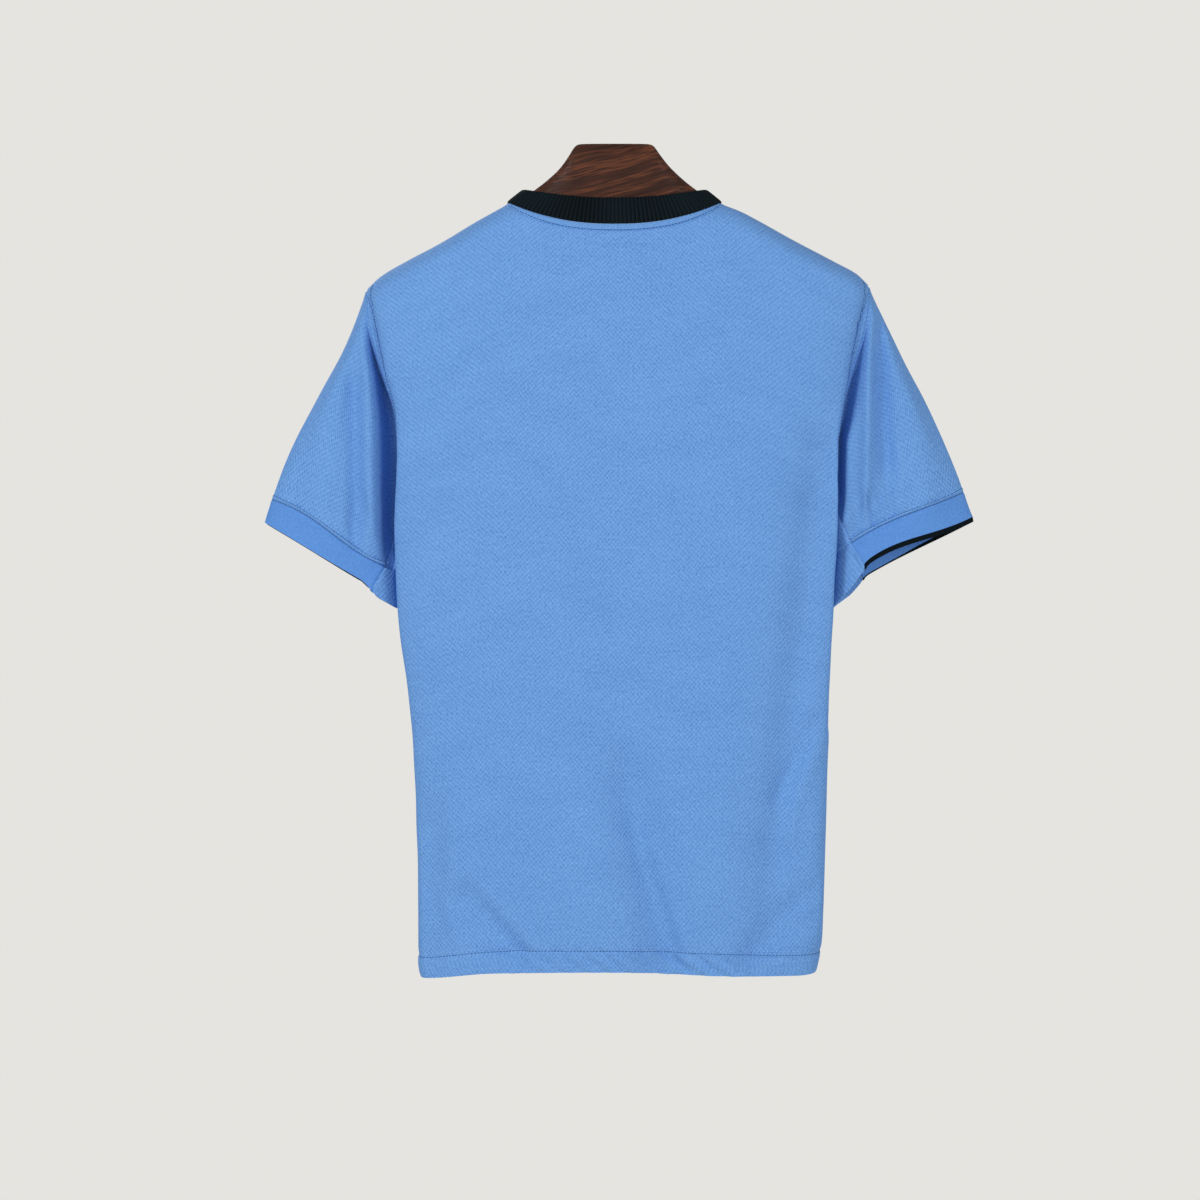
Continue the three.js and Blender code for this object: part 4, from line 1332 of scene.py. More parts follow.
@dataclass(frozen=True)
class KnitFinish:
    """Mesh knit: a light and a dark tone, the size of the mesh and how much it shows."""

    name: str
    light: Rgb
    dark: Rgb
    pitch: float = 0.0040
    slant: float = 0.9
    contrast: float = 0.28
    mottle: float = 0.12
    relief: float = 0.00012
    sheen: float = 0.05
    sheen_roughness: float = 0.45
    specular: float = 0.12
    roughness: float = 0.78
    yarn_roughness: float = 0.06

    def material(self) -> bpy.types.Material:
        """Makes the material, its mesh darker in the gaps as painted shade of the knit's holes, and its
        tone a little uneven, partly as painted shade of fine crumples.

        Returns:
            The material.
        """
        material, graph, shader = principled(self.name)
        pattern = graph.node("UVMap", uv_map="cloth").outputs[0]
        sizes = {"Pattern": pattern, "Pitch": self.pitch, "Slant": self.slant}
        knit = graph.node("Group", sizes, node_tree=GROUPS["mesh"]).outputs["Value"]
        tone = graph.node("Group", {"Pattern": pattern}, node_tree=GROUPS["mottle"]).outputs["Value"]
        # The mesh pattern is the knit's own; its darker gaps are painted shade of the holes.
        mesh_share = graph.math("MULTIPLY", knit, self.contrast)
        # Uneven tone: partly random, partly painted shade of fine horizontal crumples.
        tone_share = graph.math("MULTIPLY", tone, self.mottle)
        factor = graph.math("ADD", graph.math("ADD", mesh_share, tone_share), 0.5, True)
        roughness = graph.math("ADD", graph.math("MULTIPLY", knit, self.yarn_roughness), self.roughness)
        graph.feed(shader, factor, (self.dark, self.light), self.relief, self.specular, knit, roughness)
        graph.link(self.sheen, shader.inputs["Sheen Weight"])
        graph.link(self.sheen_roughness, shader.inputs["Sheen Roughness"])
        return material


@dataclass(frozen=True)
class RibFinish:
    """Black rib knit."""

    name: str
    # The groove tone is darker than the rib tone as painted shade in the grooves.
    groove: Rgb = (0.0008, 0.0022, 0.0034)
    rib: Rgb = (0.0048, 0.0110, 0.0150)
    pitch: float = 0.0038
    relief: float = 0.00025
    specular: float = 0.08
    roughness: float = 0.86
    rib_roughness: float = -0.08

    def material(self) -> bpy.types.Material:
        """Makes the material, its ribs a little lighter and smoother than its grooves, the darker grooves
        being painted shade.

        Returns:
            The material.
        """
        material, graph, shader = principled(self.name)
        sizes = {"Pattern": graph.node("UVMap", uv_map="cloth").outputs[0], "Pitch": self.pitch}
        ribs = graph.node("Group", sizes, node_tree=GROUPS["rib"]).outputs["Value"]
        roughness = graph.math("ADD", graph.math("MULTIPLY", ribs, self.rib_roughness), self.roughness)
        graph.feed(shader, ribs, (self.groove, self.rib), self.relief, self.specular, ribs, roughness)
        return material


@dataclass(frozen=True)
class WoodFinish:
    """Dark red-brown lacquered wood."""

    name: str = "Hanger wood"
    dark: Rgb = (0.030, 0.010, 0.006)
    light: Rgb = (0.190, 0.060, 0.026)
    relief: float = 0.00012
    specular: float = 0.2
    roughness: float = 0.46
    polish: float = 0.1

    def material(self) -> bpy.types.Material:
        """Makes the material, its pores dark and a little rougher.

        Returns:
            The material.
        """
        material, graph, shader = principled(self.name)
        place = graph.node("TexCoord").outputs["Object"]
        grain = graph.node("Group", {"Place": place}, node_tree=GROUPS["wood"])
        factor = graph.math("MULTIPLY", grain.outputs["Grain"], grain.outputs["Pores"])
        roughness = graph.math("SUBTRACT", self.roughness, graph.math("MULTIPLY", factor, self.polish))
        graph.feed(shader, factor, (self.dark, self.light), self.relief, self.specular, factor, roughness)
        return material


THREAD_KNIT = {"pitch": 0.001, "slant": 1.0, "contrast": 0.1, "mottle": 0.1, "relief": 0.00004}
CUFF_KNIT = {"pitch": 0.0021, "slant": 1.0, "contrast": 0.3, "mottle": 0.14, "relief": 0.00006}
FINISHES = {
    Look.BODY: KnitFinish("Body mesh knit", (0.206, 0.434, 0.845), (0.096, 0.248, 0.586)),
    Look.CUFF: KnitFinish("Cuff knit", (0.136, 0.338, 0.780), (0.088, 0.245, 0.625), **CUFF_KNIT),
    Look.EDGING: RibFinish("Black edging", pitch=0.0013),
    Look.RIB: RibFinish("Black collar rib"),
    Look.THREAD: KnitFinish("Blue thread", (0.330, 0.550, 0.920), (0.260, 0.470, 0.850), **THREAD_KNIT),
    # The light blue thread, darkened as painted shade of the stitch grooves.
    Look.DARK_THREAD: KnitFinish(
        "Blue thread darkened as painted groove shade", (0.040, 0.120, 0.310), (0.022, 0.075, 0.210), **THREAD_KNIT
    ),
    Look.WOOD: WoodFinish(),
}
MATERIALS = {look: finish.material() for look, finish in FINISHES.items()}


def dress(piece: bpy.types.Object, look: Look, nodes: tuple[str, ...] = ()) -> None:
    """Gives a piece its material, its body and the nodes that it stands for.

    Args:
        piece: the finished piece.
        look: its finish.
        nodes: CAD nodes that it replaces.
    """
    piece.data.materials.clear()
    piece.data.materials.append(MATERIALS[look])
    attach(piece, BODY)
    if nodes:
        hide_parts(*nodes)
    LOG.info("%s: %d faces", piece.name, len(piece.data.polygons))


# Stitches


@dataclass
class Stitching:
    """Rows of raised stitches, joined in one mesh."""

    name: str
    pitch: float = 3.0
    length: float = 2.2
    thick: float = 0.34
    lift: float = 0.1
    look: Look = Look.THREAD
    vertices: list[np.ndarray] = field(default_factory=list)

    def one_stitch(self) -> tuple[np.ndarray, list[list[int]]]:
        """Models a single stitch as a low sphere stretched along X.

        Returns:
            Its vertices in mm and its faces.
        """
        bpy.ops.object.select_all(action="DESELECT")
        bpy.ops.mesh.primitive_uv_sphere_add(segments=6, ring_count=4, radius=1.0)
        ball = bpy.context.active_object
        count = len(ball.data.vertices)
        vertices = np.empty(count * 3, np.float32)
        ball.data.vertices.foreach_get("co", vertices)
        vertices = vertices.reshape(-1, 3)[:, [2, 0, 1]]
        faces = [list(polygon.vertices) for polygon in ball.data.polygons]
        mesh = ball.data
        bpy.data.objects.remove(ball)
        bpy.data.meshes.remove(mesh)
        scale = np.array([self.length / 2, self.thick, self.thick])
        return vertices * scale, faces

    def along(self, points: np.ndarray, normals: np.ndarray) -> None:
        """Lays stitches along a line on the cloth.

        Args:
            points: the line's points, in mm.
            normals: the cloth's normals there.
        """
        steps = np.linalg.norm(np.diff(points, axis=0), axis=1)
        length = np.concatenate([[0.0], np.cumsum(steps)])
        spots = np.arange(self.pitch / 2, length[-1], self.pitch)

        def at(values: np.ndarray) -> np.ndarray:
            """Values of the line at the stitches' middles."""
            return np.stack([np.interp(spots, length, values[:, k]) for k in range(3)], 1)

        middle = at(points)
        ahead = at(np.gradient(points, axis=0))
        ahead /= np.linalg.norm(ahead, axis=1, keepdims=True)
        up = at(normals)
        up -= ahead * (up * ahead).sum(1, keepdims=True)
        up /= np.linalg.norm(up, axis=1, keepdims=True)
        side = np.cross(up, ahead)
        base, _ = self.one_stitch()
        placed = (
            (middle + up * self.lift)[:, None]
            + base[None, :, :1] * ahead[:, None]
            + base[None, :, 1:2] * side[:, None]
            + base[None, :, 2:] * up[:, None]
        )
        self.vertices.append(placed)

    def build(self) -> bpy.types.Object:
        """Joins the stitches in one object.

        Returns:
            The finished stitches.
        """
        _, faces = self.one_stitch()
        blocks = np.concatenate(self.vertices, 0)
        count, each = blocks.shape[:2]
        all_faces = [[v + k * each for v in face] for k in range(count) for face in faces]
        mesh = bpy.data.meshes.new(self.name)
        mesh.from_pydata((blocks.reshape(-1, 3) * MM).tolist(), [], all_faces)
        layer = mesh.uv_layers.new(name="cloth")
        loops = np.empty(len(mesh.loops), np.int32)
        mesh.loops.foreach_get("vertex_index", loops)
        flat = blocks.reshape(-1, 3)[:, [0, 2]] * MM
        layer.data.foreach_set("uv", flat[loops].astype(np.float32).reshape(-1))
        piece = bpy.data.objects.new(self.name, mesh)
        bpy.context.scene.collection.objects.link(piece)
        select_only(piece)
        bpy.ops.object.shade_smooth()
        dress(piece, self.look)
        return piece


# Pieces of the garment


@dataclass
class Panel:
    """The back or the front, from the neckline and shoulders to the turned hem."""

    face: Face
    node: str
    name: str
    cut: tuple[float, float]
    area: float
    phase: float
    hem: HemRelief
    wall: float = 1.7
    side_fade: float = 1.2
    neck_past: float = 0.4
    neck_fade: float = 0.8
    armhole_start: tuple[float, float] = (0.6, 1.0)
    armhole_end: float = ARMHOLE_STEPS - 0.5
    armhole_fade: float = 2.0
    top_fade: float = 4.0
    grid: ClothGrid = field(init=False)

    def steps(self) -> tuple[np.ndarray, np.ndarray]:
        """Columns and rows of the fine grid, closer at the armholes, the neck and the hem.

        Returns:
            The columns and the rows.
        """
        near_side = np.linspace(HALF_COLUMNS - 2.0, HALF_COLUMNS, SIDE_SAMPLES)
        near_neck = np.linspace(0.0, 3.0, NECK_SAMPLES)
        columns = fine_steps(-HALF_COLUMNS, HALF_COLUMNS, STEPS_ACROSS, PANEL_HUG)
        columns = np.unique(np.round(np.concatenate([columns, near_side, -near_side]), 5))
        body = fine_steps(0, ALL_ROWS - 1, STEPS_DOWN, PANEL_HUG)
        body = np.unique(np.round(np.concatenate([body, near_neck]), 5))
        return columns, np.concatenate([body, ALL_ROWS - 1 + HEM_SHARES])

    def relief(self, grid: ClothGrid) -> np.ndarray:
        """Creases, crumple, stitched rims and the hem.

        Args:
            grid: the panel's plain surface.

        Returns:
            How far each point is moved out, in mm.
        """
        x = grid.points[..., 0]
        z = grid.points[..., 2]
        across = np.abs(grid.columns)
        inside = smooth((HALF_COLUMNS - across) / self.side_fade)[None, :]
        from_top = grid.lengths(0)
        from_side = grid.side_distance()
        neck = smooth((NECK_COLUMNS + self.neck_past - across) / self.neck_fade)[None, :]
        armhole = smooth((self.armhole_end - grid.rows) / self.armhole_fade)
        armhole = (armhole * ramp(grid.rows, *self.armhole_start))[:, None]
        height = fold_height(PANEL_CREASES[self.face], x, z) * inside
        height = height + CRUMPLE.at(x, z, self.phase) * inside
        height = height * smooth(np.minimum(from_top, from_side) / SETTLED)
        height = height + neck * NECK_RIM.at(from_top)
        height = height + armhole * (ARMHOLE_RIM.at(from_side) + PANEL_ROLL.at(from_side))
        height = height + (1.0 - armhole) * PANEL_ROLL.at(from_side) * smooth(from_top / self.top_fade)
        return height + self.hem.at(x, z, grid.rows[:, None] - (ALL_ROWS - 1))

    def build(self) -> bpy.types.Object:
        """Makes the panel.

        Returns:
            The finished panel.
        """
        columns, rows = self.steps()
        points = panel_points(self.face, columns, rows)
        self.grid = ClothGrid(points, rows, columns, facing=float(self.face.value))
        self.grid.raise_by(self.relief(self.grid))
        self.grid.draw_back(SEAM_GAP, True, False, True)
        piece = make_cloth(self.name, self.grid, self.wall)
        dress(piece, Look.BODY, (self.node,))
        return piece

    def stitches(self) -> list[Stitching]:
        """Topstitching under the collar and along the armholes, and the rows over the hem.

        Returns:
            The rows darkened as painted groove shade, the light row over the hem and the close row at the
            collar's seam.
        """
        # These rows are dark as painted shade of their stitch grooves.
        lines = Stitching(f"{self.name}_seam_stitches", thick=0.4, look=Look.DARK_THREAD)
        hem = Stitching(f"{self.name}_hem_stitches", thick=0.42, lift=0.3)
        rim = Stitching(f"{self.name}_neck_stitches", pitch=1.9, length=2.0, thick=0.5, lift=0.0)
        neck = np.abs(self.grid.columns) <= NECK_COLUMNS - 0.3
        for stitching, distance in ((lines, NECK_RIM.stitch_line), (rim, 0.9)):
            points, normals = self.grid.line_from_top(distance)
            stitching.along(points[neck], normals[neck])
        armhole = self.grid.rows <= ARMHOLE_STEPS
        for at_end in (False, True):
            points, normals = self.grid.line_from_side(ARMHOLE_RIM.stitch_line, at_end)
            lines.along(points[armhole][FIRST_STITCHED_ROW:], normals[armhole][FIRST_STITCHED_ROW:])
        seam_row = int(np.searchsorted(self.grid.rows, ALL_ROWS - 1))
        points, normals = self.grid.points[seam_row], self.grid.normals[seam_row]
        for rise, stitching in ((0.0, lines), (HEM_ROW_RISE, hem)):
            stitching.along(points + np.array([0.0, 0.0, rise]), normals)
        return [lines, hem, rim]


@dataclass
class Sleeve:
    """One sleeve with its cuff, edging and underarm gusset."""

    wearer: Wearer
    phase: float
    turned_in: bool
    wall: float = 1.7
    edging_wall: float = 1.3
    turned_gap: float = 0.3
    turned_depth: float = 5.0
    turned_past: float = 0.8
    turned_end_lift: float = 2.4
    turned_end_columns: float = 6.0
    rim_at_fold: float = 0.25
    rim_steps: float = 2.5
    rim_fade: float = 4.0
    roll_fade: float = 2.0
    grids: dict[Part, ClothGrid] = field(default_factory=dict)

    def surface(self) -> ClothGrid:
        """The plain surface of all the bands, all round, with its gusset finer.

        Returns:
            The grid, with a row for each share of a band.
        """
        ring = fine_steps(0, GUSSET_START, STEPS_ACROSS, SLEEVE_HUG)
        under = fine_steps(GUSSET_START, ARMHOLE_STEPS, STEPS_IN_GUSSET, SLEEVE_HUG)
        half = np.unique(np.concatenate([ring, under]))
        steps = np.unique(np.concatenate([-half, half]))
        steps[np.argmin(np.abs(steps))] = 0.0
        blocks = []
        for part, count in BAND_ROWS.items():
            shares = np.linspace(0.0, 1.0, count + 1)
            if part is Part.SLEEVE:
                shares = 0.5 * shares**CLOSER + 0.5 * (1.0 - (1.0 - shares) ** CLOSER)
            block = SLEEVES[self.wearer].band(part, steps, shares)
            blocks.append(block if not blocks else block[1:])
        points = np.concatenate(blocks, 0)
        facing = -1.0 if self.wearer is Wearer.RIGHT else 1.0
        return ClothGrid(points, np.arange(len(points), dtype=float), steps, facing=facing)

    def relief(self, grid: ClothGrid) -> np.ndarray:
        """Creases, crumple, the cuff's stitched rim and the rolls beside the seams.

        Args:
            grid: the plain surface.

        Returns:
            How far each point is moved out, in mm.
        """
        steps = grid.columns
        down = grid.lengths(0)
        along = grid.lengths(1)
        from_cuff = np.abs(down - down[CUFF_ROW])
        from_edging = np.abs(down - down[EDGING_ROW])
        ends = [int(np.argmin(np.abs(steps - end))) for end in (-GUSSET_START, GUSSET_START)]
        from_gusset = np.minimum(*[np.abs(along - along[:, [end]]) for end in ends])
        nearest = np.minimum(np.minimum(down, from_cuff), np.minimum(from_edging, from_gusset))
        x = np.abs(grid.points[..., 0])
        z = grid.points[..., 2]
        creases = fold_height(SLEEVE_CREASES[self.wearer], x, z) * (steps < 0)[None, :]
        height = (creases + CRUMPLE.at(x, z, self.phase)) * smooth(nearest / SETTLED)
        above = (grid.rows < CUFF_ROW)[:, None] & (np.abs(steps) < GUSSET_START)[None, :]
        from_fold = mix(self.rim_at_fold, 1.0, smooth(np.abs(steps) / self.rim_steps))[None, :]
        rim = CUFF_RIM.at(from_cuff) * smooth(from_gusset / self.rim_fade) * from_fold
        height = height + np.where(above, rim, CUFF_ROLL.at(from_cuff))
        height = height + PANEL_ROLL.at(from_gusset) * smooth(from_cuff / self.roll_fade)
        return height + ARMHOLE_ROLL.at(down)

    def cut(self, whole: ClothGrid, rows: slice, columns: np.ndarray) -> ClothGrid:
        """Cuts a piece out of the whole surface.

        Args:
            whole: the whole surface.
            rows: the piece's rows.
            columns: numbers of the piece's columns, in order.

        Returns:
            The piece, with the whole surface's normals.
        """
        points = whole.points[rows][:, columns].copy()
        grid = ClothGrid(points, whole.rows[rows], whole.columns[columns], facing=whole.facing)
        grid.normals = whole.normals[rows][:, columns].copy()
        return grid

    def finish(self, part: Part, grid: ClothGrid, look: Look, slot: Slot) -> bpy.types.Object:
        """Makes one piece of the sleeve.

        Args:
            part: which piece it is.
            grid: its grid.
            look: its finish.
            slot: the record's material slot; not used.

        Returns:
            The finished piece.
        """
        self.grids[part] = grid
        node = f"{part.value}_{self.wearer.value}"
        wall = self.edging_wall if part is Part.EDGING else self.wall
        piece = make_cloth(f"{node}_cloth", grid, wall)
        dress(piece, look, (node,))
        return piece

    def build(self) -> None:
        """Makes the sleeve, cuff, edging and gusset."""
        whole = self.surface()
        whole.raise_by(self.relief(whole))
        order = np.arange(len(whole.columns))
        ring = order[np.abs(whole.columns) <= GUSSET_START]
        back_end = order[whole.columns <= -GUSSET_START][1:]
        under = np.concatenate([order[whole.columns >= GUSSET_START], back_end])
        end = len(whole.rows)

        sleeve = self.cut(whole, slice(0, CUFF_ROW + 1), ring)
        sleeve.draw_back(SEAM_GAP, True, True, True)
        sleeve_cloth = self.finish(Part.SLEEVE, sleeve, Look.BODY, Slot.BODY)

        cuff = self.cut(whole, slice(CUFF_ROW, end if self.turned_in else EDGING_ROW + 1), ring)
        cuff.draw_back(SEAM_GAP, True, not self.turned_in, True)
        cuff_cloth = self.finish(Part.CUFF, cuff, Look.CUFF, Slot.CUFF)

        edging = self.cut(whole, slice(EDGING_ROW, end), ring)
        if self.turned_in:
            self.turn_in(edging)
        else:
            edging.draw_back(SEAM_GAP, True, False, True)
        edging_cloth = self.finish(Part.EDGING, edging, Look.EDGING, Slot.EDGING)

        gusset = self.cut(whole, slice(0, end), under)
        gusset.draw_back(SEAM_GAP, True, False, True)
        gusset_cloth = self.finish(Part.GUSSET, gusset, Look.BODY, Slot.BODY)

    def turn_in(self, grid: ClothGrid) -> None:
        """Moves a turned-in edging to the inside of its cuff, just past the lower edge.

        Args:
            grid: the edging's grid, which is changed.
        """
        upper = grid.points[0].copy()
        lower = grid.points[-1].copy()
        down = lower - upper
        down /= np.linalg.norm(down, axis=-1, keepdims=True)
        inward = -(self.wall + self.turned_gap) * grid.normals[-1]
        along = np.linspace(-self.turned_depth, self.turned_past, grid.points.shape[0])
        from_end = np.minimum(np.arange(len(lower)), np.arange(len(lower))[::-1])
        lifted = self.turned_end_lift * (1.0 - smooth(from_end / self.turned_end_columns))
        reach = along[:, None] - lifted[None, :]
        grid.points = lower[None] + down[None] * reach[..., None] + inward[None]

    def stitches(self) -> list[Stitching]:
        """Close stitches in the cuff's seam and a row of topstitching above it, both in thread darkened as
        painted groove shade.

        Returns:
            The seam's row and the topstitching.
        """
        name = f"sleeve_{self.wearer.value}"
        # Both rows are dark as painted shade of their stitch grooves.
        dark = Look.DARK_THREAD
        seam = Stitching(f"{name}_seam_stitches", pitch=2.0, length=2.1, thick=0.42, lift=0.0, look=dark)
        top = Stitching(f"{name}_top_stitches", pitch=2.6, length=2.0, thick=0.36, look=dark)
        for lines, distance in ((seam, 0.2), (top, CUFF_RIM.stitch_line)):
            points, normals = self.grids[Part.SLEEVE].line_from_top(distance, from_bottom=True)
            lines.along(points, normals)
        return [seam, top]


@dataclass
class Collar:
    """Black rib ring that stands up from the neckline."""

    name: str = "collar_rib"
    ribs: int = 136
    per_rib: int = 8
    rib_height: float = 0.26
    wall: float = 2.4
    gap: float = 0.5
    bow: float = 0.7
    back_lean: float = -0.2
    front_lean: float = 0.16
    neck_point_lean: float = 0.78
    neck_point_fall: float = 0.38
    centre_height: float = 24.0
    neck_point_height: float = 18.3
    ribs_from: float = 0.12
    ribs_to: float = 0.1
    top_roll: float = 0.12
    foot_roll: float = 0.08
    foot_roll_height: float = 0.5

    def neckline(self) -> tuple[np.ndarray, np.ndarray]:
        """Evenly spaced points of the neckline.

        Returns:
            The points, and which face each is on (1 for the back, -1 for the front).
        """
        fine = np.linspace(-NECK_COLUMNS, NECK_COLUMNS, 1201)
        top = np.zeros(1)
        back = panel_points(Face.BACK, fine, top)[0][::-1]
        front = panel_points(Face.FRONT, fine, top)[0]
        loop = np.concatenate([back[:-1], front], 0)
        side = np.concatenate([np.ones(len(back) - 1), -np.ones(len(front))])
        length = np.concatenate([[0.0], np.cumsum(np.linalg.norm(np.diff(loop, axis=0), axis=1))])
        count = self.ribs * self.per_rib
        spots = np.linspace(0.0, length[-1], count, endpoint=False)
        points = np.stack([np.interp(spots, length, loop[:, k]) for k in range(3)], 1)
        return points, np.interp(spots, length, side)

    def build(self) -> bpy.types.Object:
        """Makes the ring with its ribs.

        Returns:
            The finished collar.
        """
        base, side = self.neckline()
        beside = np.clip(np.abs(base[:, 0]) / NECK_HALF_WIDTH, 0.0, 1.0)
        height = mix(self.centre_height, self.neck_point_height, beside**2)
        lean_x = -np.sign(base[:, 0]) * self.neck_point_lean * beside**1.5
        lean_y = np.where(side > 0, self.back_lean, self.front_lean) * (1.0 - beside**2)
        lean = np.stack([lean_x, lean_y, 1.0 - self.neck_point_fall * beside**2], 1)
        lean /= np.linalg.norm(lean, axis=1, keepdims=True)
        shares = COLLAR_SHARES
        points = base[None] + lean[None] * (height[None, :] * shares[:, None])[..., None]
        bow = np.sign(side)[None, :] * np.sin(math.pi * shares)[:, None] * self.bow * (1.0 - beside**2)
        points[..., 1] += bow
        grid = ClothGrid(points, shares, np.arange(len(base), dtype=float), closed=True, facing=-1.0)
        rib = -np.cos(2.0 * math.pi * np.arange(len(base)) / self.per_rib)[None, :]
        ends = smooth(shares / self.ribs_from) * smooth((1.0 - shares) / self.ribs_to)
        foot = self.foot_roll_height * (1.0 - smooth(shares / self.foot_roll))
        roll = 1.0 - smooth((1.0 - shares) / self.top_roll) + foot
        relief = self.rib_height * rib * ends[:, None] + roll[:, None]
        grid.raise_by(relief)
        grid.draw_back(self.gap, True, False, False)
        piece = make_cloth(self.name, grid, self.wall)
        dress(piece, Look.RIB, ("collar",))
        return piece


@dataclass
class Hanger:
    """The wooden hanger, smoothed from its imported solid."""

    name: str = "hanger_wood"
    left_shift: float = 3.4
    right_shift: float = 5.2
    below_top: tuple[float, float] = (4.0, 22.0)
    above_arms: tuple[float, float] = (-95.0, 34.0)
    beside_middle: tuple[float, float] = (20.0, 25.0)

    def widen_neck(self, mesh: bpy.types.Mesh) -> None:
        """Moves the hanger's slopes out to the photo's outline above the collar.

        Args:
            mesh: the hanger's mesh, which is changed.
        """
        count = len(mesh.vertices)
        places = np.empty(count * 3, np.float32)
        mesh.vertices.foreach_get("co", places)
        places = places.reshape(-1, 3)
        x = places[:, 0] / MM
        z = places[:, 2] / MM
        where = ramp(-z, *self.below_top) * ramp(z, *self.above_arms)
        left = self.left_shift * ramp(x, *self.beside_middle)
        right = self.right_shift * ramp(-x, *self.beside_middle)
        places[:, 0] += where * (left - right) * MM
        mesh.vertices.foreach_set("co", places.reshape(-1))

    def build(self) -> bpy.types.Object:
        """Copies the solid, merges its faces and rounds them.

        Returns:
            The finished hanger.
        """
        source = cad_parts["hanger"]
        source = source if isinstance(source, bpy.types.Object) else bpy.data.objects["hanger"]
        piece = source.copy()
        piece.data = source.data.copy()
        piece.name = self.name
        bpy.context.scene.collection.objects.link(piece)
        self.widen_neck(piece.data)
        select_only(piece)
        bpy.ops.object.mode_set(mode="EDIT")
        bpy.ops.mesh.select_all(action="SELECT")
        bpy.ops.mesh.remove_doubles(threshold=0.00002)
        bpy.ops.mesh.tris_convert_to_quads(face_threshold=0.7, shape_threshold=0.7)
        bpy.ops.object.mode_set(mode="OBJECT")
        rounding = piece.modifiers.new("rounding", "SUBSURF")
        rounding.levels = 2
        rounding.render_levels = 2
        bpy.ops.object.modifier_apply(modifier=rounding.name)
        bpy.ops.object.shade_smooth()
        dress(piece, Look.WOOD, ("hanger",))
        return piece


# Studio


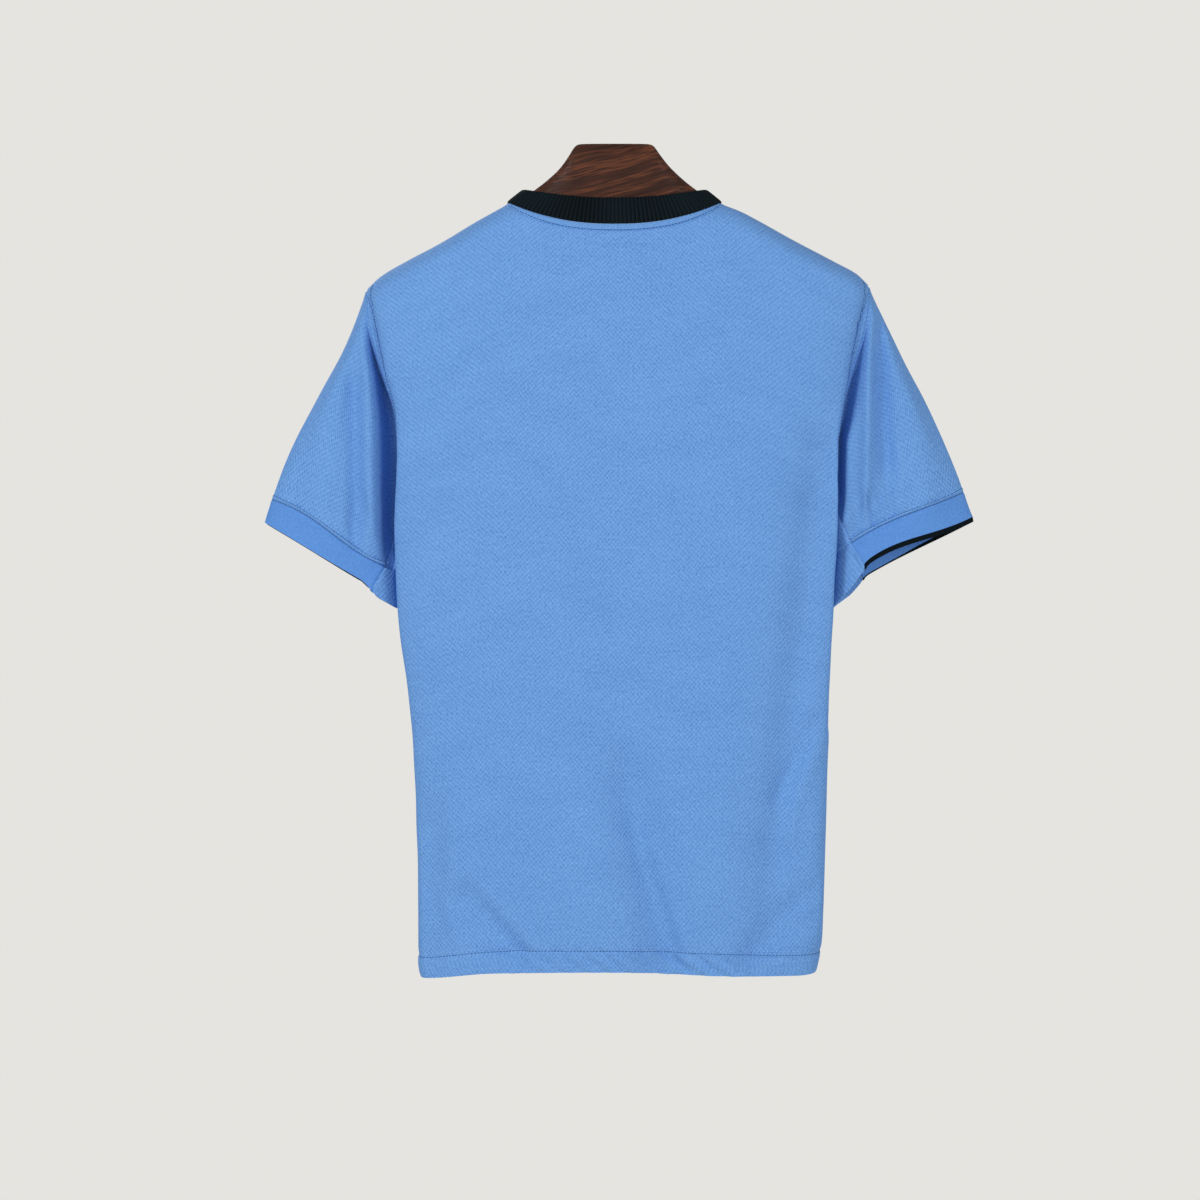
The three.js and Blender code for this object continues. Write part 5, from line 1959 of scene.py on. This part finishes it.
@dataclass(frozen=True)
class Studio:
    """Camera at the photo's angle, soft lights, a pale surround and a floor below."""

    distance: float = 5.548
    lens: float = 180.0
    aim_x: float = 0.0134
    aim_z: float = -0.4218
    floor_z: float = -1.2
    floor_reach: float = 0.98
    floor_fade: float = 0.7
    surround: Rgb = (0.783, 0.775, 0.745)
    fill_strength: float = 0.455
    lights: tuple = (
        ("key", (1.6, 2.05, 0.2), 0.9, 29.0),
        ("fill", (-1.7, 2.1, -0.15), 1.3, 21.0),
        ("rear", (0.6, -2.4, 0.7), 1.8, 26.0),
    )

    def camera(self) -> None:
        """Looks straight at the back of the garment."""
        data = bpy.data.cameras.new("camera")
        data.lens = self.lens
        data.sensor_width = 36.0
        camera = bpy.data.objects.new("camera", data)
        camera.location = (self.aim_x, self.distance, self.aim_z)
        camera.rotation_euler = (math.pi / 2, 0.0, math.pi)
        bpy.context.scene.collection.objects.link(camera)
        bpy.context.scene.camera = camera

    def area_light(self, name: str, place: tuple, size: float, power: float) -> None:
        """Adds a round soft light that faces the garment's middle.

        Args:
            name: the light's name.
            place: where it stands, in metres.
            size: its width in metres.
            power: its power in watts.
        """
        data = bpy.data.lights.new(name, "AREA")
        data.shape = "DISK"
        data.size = size
        data.energy = power
        light = bpy.data.objects.new(name, data)
        light.location = place
        aim = np.array([0.0, 0.0, -0.4]) - np.array(place)
        yaw = math.atan2(aim[1], aim[0]) - math.pi / 2
        pitch = math.atan2(aim[2], math.hypot(aim[0], aim[1])) + math.pi / 2
        light.rotation_euler = (pitch, 0.0, yaw)
        bpy.context.scene.collection.objects.link(light)

    def surround_light(self) -> None:
        """Pale surround for the camera, and an even fill for the cloth."""
        world = bpy.data.worlds.new("surround")
        bpy.context.scene.world = world
        world.use_nodes = True
        graph = Graph(world.node_tree)
        fill = world.node_tree.nodes["Background"]
        graph.link((1.0, 1.0, 1.0, 1.0), fill.inputs[0])
        graph.link(self.fill_strength, fill.inputs[1])
        seen = graph.node("Background", {0: (*self.surround, 1.0), 1: 1.0})
        path = graph.node("LightPath")
        choose = graph.node("MixShader", {0: path.outputs["Is Camera Ray"]})
        graph.link(fill.outputs[0], choose.inputs[1])
        graph.link(seen.outputs[0], choose.inputs[2])
        graph.link(choose.outputs[0], world.node_tree.nodes["World Output"].inputs[0])

    def floor(self) -> None:
        """Pale floor well below the hem, which fades out before its edge."""
        bpy.ops.object.select_all(action="DESELECT")
        bpy.ops.mesh.primitive_circle_add(
            vertices=96, radius=self.floor_reach, fill_type="NGON", location=(0.0, 0.0, self.floor_z)
        )
        floor = bpy.context.active_object
        floor.name = "floor"
        bpy.ops.object.transform_apply(location=True, rotation=True, scale=True)
        material, graph, shader = principled("Pale floor")
        graph.link((*self.surround, 1.0), shader.inputs["Base Color"])
        graph.link(0.9, shader.inputs["Roughness"])
        place = graph.node("TexCoord").outputs["Object"]
        flat = graph.node("VectorMath", {0: place, 1: (1.0, 1.0, 0.0)}, operation="MULTIPLY")
        reach = graph.node("VectorMath", {0: flat.outputs[0]}, operation="LENGTH").outputs["Value"]
        fade = graph.math("DIVIDE", graph.math("SUBTRACT", self.floor_reach, reach), self.floor_fade, True)
        graph.link(fade, shader.inputs["Alpha"])
        floor.data.materials.append(material)

    def build(self) -> None:
        """Sets up the camera, the lights and the floor."""
        bpy.context.scene.view_settings.view_transform = "Standard"
        self.camera()
        self.surround_light()
        for name, place, size, power in self.lights:
            self.area_light(name, place, size, power)
        self.floor()


def main() -> None:
    """Builds the studio and every piece of the jersey in order."""
    logging.basicConfig(level=logging.INFO, format="%(name)s: %(message)s")
    Studio().build()
    Hanger().build()
    cut = (0.5, 0.735)
    soft_hem = HemRelief(strength=0.45)
    back = Panel(Face.BACK, "back_panel", "back", cut, area=0.335, phase=0.0, hem=HemRelief())
    front = Panel(Face.FRONT, "front_panel", "front", cut, area=0.32, phase=2.3, hem=soft_hem)
    left = Sleeve(Wearer.LEFT, phase=4.1, turned_in=True)
    right = Sleeve(Wearer.RIGHT, phase=5.9, turned_in=False)
    for piece in (back, front, left, right):
        piece.build()
        for lines in piece.stitches():
            lines.build()
    Collar().build()


if __name__ == "__main__":
    main()
